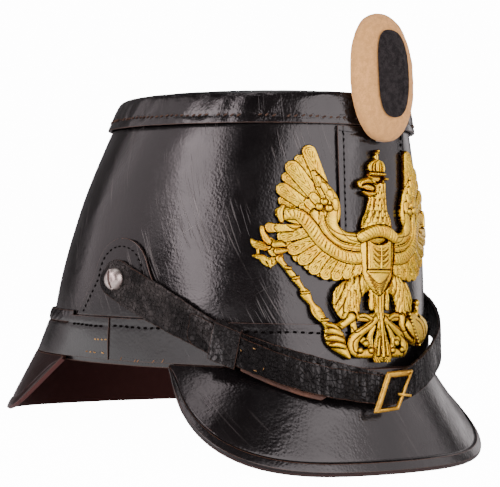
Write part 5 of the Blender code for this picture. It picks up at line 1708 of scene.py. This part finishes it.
CLAWS = (
    lone(((-15.4, 24.6, 2.6), (-19.0, 21.4, 1.9), (-25.4, 17.4, 2.4)), 3.0),
    # sceptre: leaves of its head
    lone(((-48.0, 50.4, 1.6), (-50.4, 53.6, 3.0), (-51.8, 56.6, 2.8), (-52.8, 59.2, 1.2)), 2.9),
    lone(((-58.3, 54.8, 0.8), (-58.1, 51.6, 0.8)), 2.4),
    lone(((-61.0, 51.6, 0.5), (-56.8, 50.6, 1.7), (-53.2, 48.4, 2.2), (-50.4, 50.2, 1.5)), 3.1,
         Form.TUFT),
    lone(((-53.4, 49.4, 1.6), (-52.6, 45.6, 0.3)), 2.9),
    lone(((-61.0, 59.2, 0.5), (-59.4, 57.0, 1.8), (-56.0, 56.0, 2.0), (-53.2, 55.6, 1.6)), 3.1,
         Form.TUFT),
    lone(((-56.0, 65.2, 0.9), (-55.8, 62.6, 1.3), (-54.6, 60.0, 1.8), (-52.8, 57.4, 1.8)), 3.3,
         Form.TUFT),
    lone(((-45.8, 56.2, 0.6), (-48.0, 57.2, 1.7), (-51.0, 56.8, 1.9)), 3.1),
    lone(((-44.8, 54.4, 0.7), (-47.2, 54.0, 1.5), (-50.2, 53.6, 1.7)), 3.2),
    # sceptre: stem, its knots and its foot
    lone(((-48.9, 50.6, 2.1), (-47.4, 48.4, 1.5), (-44.6, 45.0, 1.6), (-41.4, 40.8, 1.8),
          (-38.8, 37.0, 1.3), (-37.2, 34.2, 2.5), (-34.6, 29.8, 1.5), (-32.0, 25.8, 2.8),
          (-29.2, 21.2, 1.8), (-26.6, 18.4, 3.0), (-24.8, 14.2, 5.0), (-22.8, 10.4, 3.6),
          (-19.8, 6.8, 2.0), (-18.2, 4.8, 1.0)), 3.4),
    lone(((-46.9, 46.4, 1.0), (-43.4, 46.0, 1.0)), 3.9),
    lone(((-43.6, 41.2, 0.9), (-39.8, 42.2, 0.9)), 3.9),
    lone(((-39.8, 34.6, 0.8), (-35.4, 35.2, 0.8)), 4.0),
    lone(((-31.2, 22.4, 0.8), (-27.6, 22.8, 0.8)), 4.0),
    # claws on the sceptre
    laid(((-28.8, 20.4, 0.9), (-25.2, 20.2, 1.4), (-21.6, 18.4, 1.2)), 0.9),
    laid(((-29.8, 17.0, 0.9), (-26.0, 17.4, 1.5), (-21.0, 15.8, 1.2)), 1.0),
    laid(((-29.4, 13.6, 0.9), (-25.4, 14.2, 1.5), (-20.6, 12.8, 1.1)), 1.0),
    laid(((-27.6, 10.6, 0.8), (-23.8, 11.0, 1.3), (-20.0, 10.0, 1.0)), 0.9),
    # orb, its finial and the claw on it
    lone(((17.2, 20.4, 1.6), (19.6, 18.4, 6.2), (23.4, 17.8, 8.0), (28.4, 17.8, 8.0),
          (32.2, 18.2, 5.8), (33.8, 18.6, 2.0)), 5.2),
    lone(((27.4, 24.6, 1.8), (28.6, 27.0, 1.1), (29.0, 28.6, 1.6)), 3.6),
    lone(((14.6, 24.4, 2.6), (13.6, 19.6, 1.6), (16.8, 14.8, 1.6), (20.6, 12.4, 1.5)), 4.0),
)
# Lines cut into both halves of the plate, as (points, depth, width).
CUT_LINES = (
    (((16.1, 19.1), (14.1, 16.8), (10.4, 18.7), (4.7, 22.2)), 0.35, 0.25),
    (((12.4, 15.3), (16.0, 12.2), (15.8, 8.3), (13.7, 6.9)), 0.4, 0.25),
    (((7.0, 45.8), (7.2, 58.8)), 0.45, 0.28), (((-7.0, 46.2), (7.0, 46.2)), 0.45, 0.28),
    (((50.0, 66.2), (50.6, 64.6), (49.6, 62.8)), 0.4, 0.3),
    (((27.4, 71.5), (27.6, 74.6)), -0.6, 0.5),
)
HEAD_LINES = (
    (((-6.8, 88.6), (-4.2, 87.2), (-1.9, 88.0), (0.8, 87.2), (4.6, 87.9)), 0.5, 0.28),
    (((-10.6, 85.9), (-7.6, 86.7), (-4.2, 86.2), (-3.0, 84.0)), 0.6, 0.3),
    (((-9.0, 83.6), (-6.0, 83.1), (-3.4, 83.2)), 0.6, 0.28),
)
# Height of each group of feathers, and the step between neighbours in it.
SMALL_HEIGHT = 2.1
SMALL_STEP = 0.04
LARGE_HEIGHT = 2.7
LARGE_STEP = 0.05
COVERT_HEIGHT = 3.1


def carve_eagle(relief: Relief) -> None:
    """Lay every stroke of the eagle, lowest first."""
    for k, (root, tip, half) in enumerate(SMALL_FEATHERS):
        relief.lay(feather(root, tip, half, SMALL_HEIGHT + SMALL_STEP * (k % 3)))
    for k, (root, tip, half) in enumerate(LARGE_FEATHERS):
        relief.lay(feather(root, tip, half, LARGE_HEIGHT + LARGE_STEP * (k % 2)))
    for root, tip, half in COVERTS:
        relief.lay(feather(root, tip, half, COVERT_HEIGHT))
    relief.lay(WING[0])
    dress_shoulder(relief)
    for stroke in WING[1:] + TAIL:
        relief.lay(stroke)
    dress_thighs(relief)
    for stroke in MIDDLE:
        relief.lay(stroke)
    dress_neck(relief)
    for stroke in HEAD + CLAWS:
        if stroke.lying:
            relief.settle()
        relief.lay(stroke)
    for points, depth, width in CUT_LINES:
        relief.engrave(points, depth, width)
    for points, depth, width in HEAD_LINES:
        relief.engrave(points, depth, width, both=False)
    dress_details(relief)


# Small feathers up the shoulder as (across, up, turn, half width).
SHOULDER_FEATHERS = (
    (29.6, 87.2, 0.25, 1.5), (27.2, 83.8, 0.35, 1.7), (29.2, 81.6, 0.55, 1.5),
    (24.6, 80.6, 0.2, 1.6), (26.6, 78.2, 0.5, 1.6), (22.4, 76.6, 0.1, 1.6),
)
SHOULDER_LENGTH = 3.4
SHOULDER_LINES = (
    (((30.0, 86.4), (26.9, 80.0), (25.9, 73.6), (26.4, 67.6), (21.6, 62.8), (10.4, 61.4)),
     0.30, 0.26),
    (((21.0, 74.6), (21.4, 68.4), (17.0, 60.6), (10.0, 58.4)), 0.22, 0.26),
)
# Rows of flame feathers on a thigh as (height, inner reach, outer reach, how many).
THIGH_ROWS = ((26.0, 13.8, 18.4, 3), (29.2, 12.6, 21.4, 4), (32.6, 11.6, 22.6, 5),
              (36.0, 9.6, 20.8, 5), (39.4, 7.2, 15.6, 4))
# Lean of a row's innermost feather, and what the outermost leans further.
FLAME_LEAN = (-0.9, 2.8)
# Heights up the neck, and its half width there.
NECK_HALF = ((66.0, 70.0, 74.0, 78.0, 88.0), (8.8, 6.8, 5.6, 4.9, 4.6))
NECK_ROWS = 7
NECK_FOOT = 67.4
NECK_PITCH = 2.9
SPRAY_LEAVES = 4
SPRAY_FOOT = 47.6
SPRAY_PITCH = 2.5
BREAST_LINES = (44.4, 42.8, 41.2, 39.6, 38.0, 36.4)
BREAST_POINT = 32.0
BREAST_SPREAD = 0.58


def dress_shoulder(relief: Relief) -> None:
    """Small feathers up the shoulder, each over the one outside it."""
    relief.settle()
    for x, y, turn, half in SHOULDER_FEATHERS:
        dx, dy = SHOULDER_LENGTH * math.sin(turn), SHOULDER_LENGTH * math.cos(turn)
        points = ((x - dx * 0.6, y - dy * 0.6, half * 0.8), (x + dx * 0.3, y + dy * 0.3, half))
        relief.lay(Stroke(points, 0.7, Form.FEATHER, lying=True))
    for points, depth, width in SHOULDER_LINES:
        relief.engrave(points, depth, width)


def dress_thighs(relief: Relief) -> None:
    """Long flame feathers down both thighs, lowest row first."""
    relief.settle()
    for y, inner, outer, count in THIGH_ROWS:
        for k in range(count):
            share = k / (count - 1)
            x = inner + (outer - inner) * share
            dx = FLAME_LEAN[0] + FLAME_LEAN[1] * share
            points = ((x - 0.7 * dx, y + 4.0, 0.5), (x, y + 1.2, 1.1),
                      (x + 0.9 * dx, y - 2.4, 0.8))
            relief.lay(Stroke(points, 0.62, Form.FEATHER, lying=True))


def dress_neck(relief: Relief) -> None:
    """Small feathers down the neck, and a leaf spray on the chest's shield."""
    relief.settle()
    for row in range(NECK_ROWS):
        y = NECK_FOOT + row * NECK_PITCH
        half = np.interp(y, *NECK_HALF)
        count = 5 if row % 2 else 4
        for k in range(count):
            share = 2 * k / (count - 1) - 1
            x = -0.9 + (half - 0.8) * share
            points = ((x - 0.3 * share, y + 2.6, 0.5), (x + 0.4 * share, y - 1.4, 1.0))
            relief.lay(laid(points, 0.55, Form.FEATHER))
    for k in range(SPRAY_LEAVES):
        y = SPRAY_FOOT + SPRAY_PITCH * k
        leaf = ((0.2, y, 0.35), (2.4, y + 0.6, 0.75), (5.0, y + 3.0, 0.4))
        relief.lay(Stroke(leaf, 0.5, lying=True))
    relief.lay(laid(((0.0, 46.6, 0.6), (0.0, 58.6, 0.4)), 0.6))
    for y in BREAST_LINES:
        reach = (y - BREAST_POINT) * BREAST_SPREAD
        points = ((-reach, y + 0.2), (0.0, y - 0.7 * reach), (reach, y + 0.2))
        relief.engrave(points, 0.35, 0.26, both=False)


# Beads as (across, up, radius, height), on both halves of the plate and on one.
PAIRED_BEADS = (
    (27.3, 77.4, 1.75, 4.4), (29.6, 74.9, 1.75, 4.4), (25.2, 74.4, 1.75, 4.4),
    (9.4, 11.6, 1.7, 3.4), (12.6, 8.4, 1.5, 3.6), (6.6, 8.2, 1.5, 3.2),
)
SINGLE_BEADS = (
    (-1.3, 102.3, 0.7, 4.7), (-4.6, 91.4, 0.7, 4.7), (-1.4, 91.4, 0.7, 4.7),
    (1.8, 91.4, 0.7, 4.7), (-4.4, 87.6, 0.75, 5.2), (29.4, 30.4, 1.8, 4.0),
)
ORB_BEADS = 10
ORB_LINES = (((24.0, 22.6), (29.8, 13.4)), ((26.4, 24.0), (32.0, 15.4)))


def dress_details(relief: Relief) -> None:
    """Beads, and the orb's bands."""
    for way in (1, -1):
        for x, y, radius, height in PAIRED_BEADS:
            relief.bead(x * way, y, radius, height)
    for bead in SINGLE_BEADS:
        relief.bead(*bead)
    for k in range(ORB_BEADS):
        share = k / (ORB_BEADS - 1)
        relief.bead(18.4 + 2.2 * share + 4.4 * share ** 2, 25.2 - 14.8 * share, 0.9, 5.6)
    for start, end in ORB_LINES:
        bulge = ((start[0] + end[0]) / 2 + 1.2, (start[1] + end[1]) / 2 + 1.2)
        relief.engrave((start, bulge, end), 0.45, 0.3, both=False)


def make_eagle(effects: Effects) -> Piece:
    """The eagle as a fine relief over its own plate."""
    relief = Relief()
    carve_eagle(relief)
    piece = relief.build("raised_eagle")
    return finish_piece(piece, GILT, effects, "eagle_plate")


# ---------- the stage and the camera

@dataclass(frozen=True)
class Lamp:
    """A soft rectangular light."""

    name: str
    place: tuple
    aim: tuple
    size: tuple
    power: float
    colour: tuple = (1.0, 1.0, 1.0)
    roll: float = 0.0
    mirrored: bool = True

    def build(self) -> Piece:
        """Hang the light."""
        light = bpy.data.lights.new(self.name, "AREA")
        light.shape = "RECTANGLE"
        light.size, light.size_y = self.size
        light.energy = self.power
        light.color = self.colour
        lamp = bpy.data.objects.new(self.name, light)
        bpy.context.scene.collection.objects.link(lamp)
        lamp.location = self.place
        away = Vector(self.place) - Vector(self.aim)
        turn = Matrix.Rotation(math.radians(self.roll), 3, "Z")
        lamp.rotation_euler = (away.to_track_quat("Z", "Y").to_matrix() @ turn).to_euler()
        lamp.visible_glossy = self.mirrored
        return lamp


WINDOW_WARMTH = (1.0, 0.87, 0.90)
FRONT_WARMTH = (1.0, 0.90, 0.92)
RIGHT_WARMTH = (1.0, 0.93, 0.94)
LAMPS = (
    Lamp("left_window", (-0.880, -0.030, 0.40), (0.0, 0.0, 0.10), (0.36, 1.00), 6.4,
         WINDOW_WARMTH, roll=38.0),
    Lamp("left_back_window", (-0.660, 0.684, 0.40), (0.0, 0.0, 0.10), (1.16, 0.90), 3.6,
         WINDOW_WARMTH),
    Lamp("left_high_window", (-0.416, -0.015, 0.954), (0.0, 0.0, 0.05), (0.30, 0.26), 0.75,
         WINDOW_WARMTH),
    Lamp("front_light", (-0.110, -0.944, 0.42), (0.0, 0.0, 0.12), (0.94, 0.92), 9.4,
         FRONT_WARMTH, roll=16.0),
    Lamp("front_right_light", (0.672, -0.672, 0.42), (0.0, 0.0, 0.12), (1.06, 0.78), 3.6,
         FRONT_WARMTH),
    Lamp("right_light", (1.0, 0.15, 0.30), (0.0, 0.0, 0.10), (0.35, 0.7), 1.1,
         RIGHT_WARMTH),
    Lamp("overhead", (0.05, 0.25, 1.10), (0.0, 0.0, 0.1), (0.6, 0.5), 1.2),
    Lamp("low_bounce", (-0.55, -0.38, 0.04), (0.0, 0.10, 0.02), (0.40, 0.06), 1.2,
         mirrored=False),
)
SWEEP_REACH = 3.2
SWEEP_BACK = 1.5
SWEEP_CURVE = 0.6
SWEEP_TOP = 2.6
SWEEP_STEPS = 12
PAPER_GREY = 0.62
PAPER_ROUGHNESS = 0.9
PAPER_GLOW = 14.0
# The floor's glow in mirroring leather: its strength, the distances from the hat and the places
# along X between which it fades out, and how level the paper has to lie.
PAPER_MIRRORED = 1.2
PAPER_NEAR = (0.28, 0.60)
PAPER_LEFT = (-0.20, -0.09)
PAPER_LEVEL = (0.9, 0.99)
WORLD_GLOW = 0.045


def make_sweep(bearing: float) -> Piece:
    """A white paper sweep under and behind the hat, square to the camera.

    Args:
        bearing: the camera's bearing from the front, towards the wearer's right.

    Returns:
        The sweep.
    """
    profile = [(-SWEEP_REACH, 0.0), (SWEEP_BACK, 0.0)]
    for k in range(1, SWEEP_STEPS + 1):
        turn = math.pi / 2 * k / SWEEP_STEPS
        profile.append((SWEEP_BACK + SWEEP_CURVE * math.sin(turn),
                        SWEEP_CURVE * (1 - math.cos(turn))))
    profile.append((SWEEP_BACK + SWEEP_CURVE, SWEEP_TOP))
    points, faces = [], []
    look = Vector((math.sin(bearing), math.cos(bearing), 0.0))
    side = Vector((look.y, -look.x, 0.0))
    for away, up in profile:
        for reach in (-SWEEP_REACH, SWEEP_REACH):
            points.append(look * away + side * reach + Vector((0.0, 0.0, up)))
    for k in range(len(profile) - 1):
        faces.append((2 * k, 2 * k + 1, 2 * k + 3, 2 * k + 2))
    sweep = new_mesh_piece("paper_sweep", points, faces)
    sweep.data.shade_smooth()
    sweep.data.materials.append(make_paper())
    return sweep


def make_paper() -> bpy.types.Material:
    """Paper that glows for the camera, and where it lies flat near the hat, in mirrors too."""
    made = bpy.data.materials.new("white paper")
    made.use_nodes = True
    t = Tree(made.node_tree)
    shader = made.node_tree.nodes["Principled BSDF"]
    t.fill(shader, {"Base Color": (PAPER_GREY, PAPER_GREY, PAPER_GREY, 1.0),
                    "Roughness": PAPER_ROUGHNESS, "Emission Color": WHITE})
    path = t.add("ShaderNodeLightPath")
    geometry = t.add("ShaderNodeNewGeometry")
    facing, place = t.add("ShaderNodeSeparateXYZ"), t.add("ShaderNodeSeparateXYZ")
    t.feed(facing.inputs[0], geometry.outputs["Normal"])
    t.feed(place.inputs[0], geometry.outputs["Position"])
    away = t.add("ShaderNodeVectorMath", operation="LENGTH")
    t.feed(away.inputs[0], geometry.outputs["Position"])
    near = t.spread(away.outputs["Value"], *PAPER_NEAR, 1.0, 0.0)
    lit = t.math("MULTIPLY", near, t.spread(place.outputs["X"], *PAPER_LEFT, 1.0, 0.0))
    lying = t.spread(t.math("ABSOLUTE", facing.outputs["Z"]), *PAPER_LEVEL)
    mirrored = t.math("MULTIPLY", path.outputs["Is Glossy Ray"], t.math("MULTIPLY", lying, lit))
    seen = t.math("MULTIPLY", path.outputs["Is Camera Ray"], PAPER_GLOW)
    t.feed(shader.inputs["Emission Strength"],
           t.math("ADD", seen, t.math("MULTIPLY", mirrored, PAPER_MIRRORED)))
    return made


def light_world() -> None:
    """A dim, even world round the stage."""
    world = bpy.context.scene.world or bpy.data.worlds.new("world")
    bpy.context.scene.world = world
    world.use_nodes = True
    background = world.node_tree.nodes["Background"]
    background.inputs["Color"].default_value = WHITE
    background.inputs["Strength"].default_value = WORLD_GLOW


@dataclass(frozen=True)
class PhotoCamera:
    """The photograph's camera, fitted to the crown's ovals in the hat's own frame."""

    bearing: float = 0.732
    distance: float = 948.083
    height: float = 52.767
    turns: tuple = (-0.008, 0.005, -0.023)
    focal_pixels: float = 1836.236
    width_pixels: float = 500.0
    sensor: float = 36.0

    def build(self) -> Piece:
        """Place the camera as the hat stands."""
        yaw, pitch, roll = self.turns
        look = Vector((math.sin(self.bearing), math.cos(self.bearing), 0.0))
        up = Vector((0.0, 0.0, 1.0))
        right = look.cross(up)
        look, right = (Matrix.Rotation(yaw, 3, up) @ v for v in (look, right))
        look, up = (Matrix.Rotation(pitch, 3, right) @ v for v in (look, up))
        right, up = (Matrix.Rotation(roll, 3, look) @ v for v in (right, up))
        spot = Vector((-self.distance * math.sin(self.bearing),
                       -self.distance * math.cos(self.bearing), self.height)) * MM
        turn = Matrix((right, up, -look)).transposed().to_4x4()
        rest = (Matrix.Translation(Vector(CROWN.rest) * MM) @ Matrix.Rotation(CROWN.tip, 4, "X"))
        lens = bpy.data.cameras.new("photo_camera")
        lens.sensor_width = self.sensor
        lens.lens = self.focal_pixels * self.sensor / self.width_pixels
        camera = bpy.data.objects.new("photo_camera", lens)
        bpy.context.scene.collection.objects.link(camera)
        camera.matrix_world = rest @ Matrix.Translation(spot) @ turn
        bpy.context.scene.camera = camera
        return camera


# ---------- assembly

COPIES = (
    SolidCopy("crown_shell", "lacquered_crown", LACQUER, levels=2, uneven=0.25, uneven_size=30.0,
              shape=crown_shape),
    SolidCopy("top_lid", "crazed_lid", LID_LACQUER, uneven=0.35, uneven_size=9.0, flat_top=True,
              shape=rim_shape),
    SolidCopy("badge_panel", "front_panel", LACQUER, levels=4, uneven=0.2, uneven_size=12.0,
              shape=panel_shape),
    SolidCopy("head_band_front", "front_band", BAND_LACQUER, bevel=0.12, shape=band_shape),
    SolidCopy("head_band_rear", "rear_band", BAND_LACQUER, bevel=0.12, shape=band_shape),
    SolidCopy("head_band_rear_edge", "rear_edge", BAND_LACQUER, bevel=0.7, uneven=0.1,
              shape=rear_edge_shape),
    SolidCopy("side_tab_right", "right_tab", LACQUER, levels=4, uneven=0.1, shape=tab_shape),
    SolidCopy("side_tab_left", "left_tab", LACQUER, levels=4, uneven=0.1, shape=tab_shape),
    SolidCopy("front_visor", "moulded_front_visor", VISOR_LACQUER, levels=2),
    SolidCopy("rear_visor", "moulded_rear_visor", REAR_VISOR_LACQUER, levels=2),
    SolidCopy("strap_near", "near_strap", STRAP, uneven_size=6.0, line=strap_line,
              shape=strap_shape),
    SolidCopy("strap_upper", "far_strap", STRAP, uneven_size=6.0, line=strap_line,
              shape=strap_shape),
    SolidCopy("strap_tongue", "brown_tongue", TONGUE, uneven=0.25, uneven_size=4.0,
              line=strap_line),
    SolidCopy("strap_keeper", "keeper_loop", KEEPER, uneven=0.3, uneven_size=4.0),
    SolidCopy("buckle_frame", "buckle", BUCKLE_BRASS, bevel=0.45, levels=2, uneven=0.12,
              uneven_size=3.0, straight=True, shape=thickened),
    SolidCopy("buckle_prong", "buckle_prong", BUCKLE_BRASS, bevel=0.2, levels=2, uneven=0.0),
    SolidCopy("strap_screw_right", "right_screw", STEEL, bevel=0.15, levels=2, uneven=0.0),
    SolidCopy("strap_screw_left", "left_screw", STEEL, bevel=0.15, levels=2, uneven=0.0),
    SolidCopy("badge_body", "wool_badge", CREAM_WOOL, bevel=0.5, uneven=0.5, uneven_size=6.0),
    SolidCopy("badge_centre", "wool_badge_centre", BLACK_WOOL, uneven=0.3, uneven_size=4.0),
    SolidCopy("badge_prong", "badge_prong", STEEL, bevel=0.1, levels=1, uneven=0.0),
)
SEWN = ("lacquered_crown", "crazed_lid", "front_panel", "front_band", "rear_band", "rear_edge",
        "right_tab", "left_tab")


def main() -> None:
    """Dress the hat, light it and set the camera."""
    logging.basicConfig(level=logging.INFO, format="%(name)s %(message)s")
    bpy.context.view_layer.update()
    effects = Effects()
    dressed = {copy.name: copy.build(effects) for copy in COPIES}
    make_eagle(effects)
    sew(Ground(dressed[name] for name in SEWN), effects)
    sew_strap(Ground(dressed[name] for name in ("near_strap", "far_strap")), effects)
    camera = PhotoCamera()
    make_sweep(camera.bearing)
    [lamp.build() for lamp in LAMPS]
    light_world()
    camera.build()


if __name__ == "__main__":
    main()
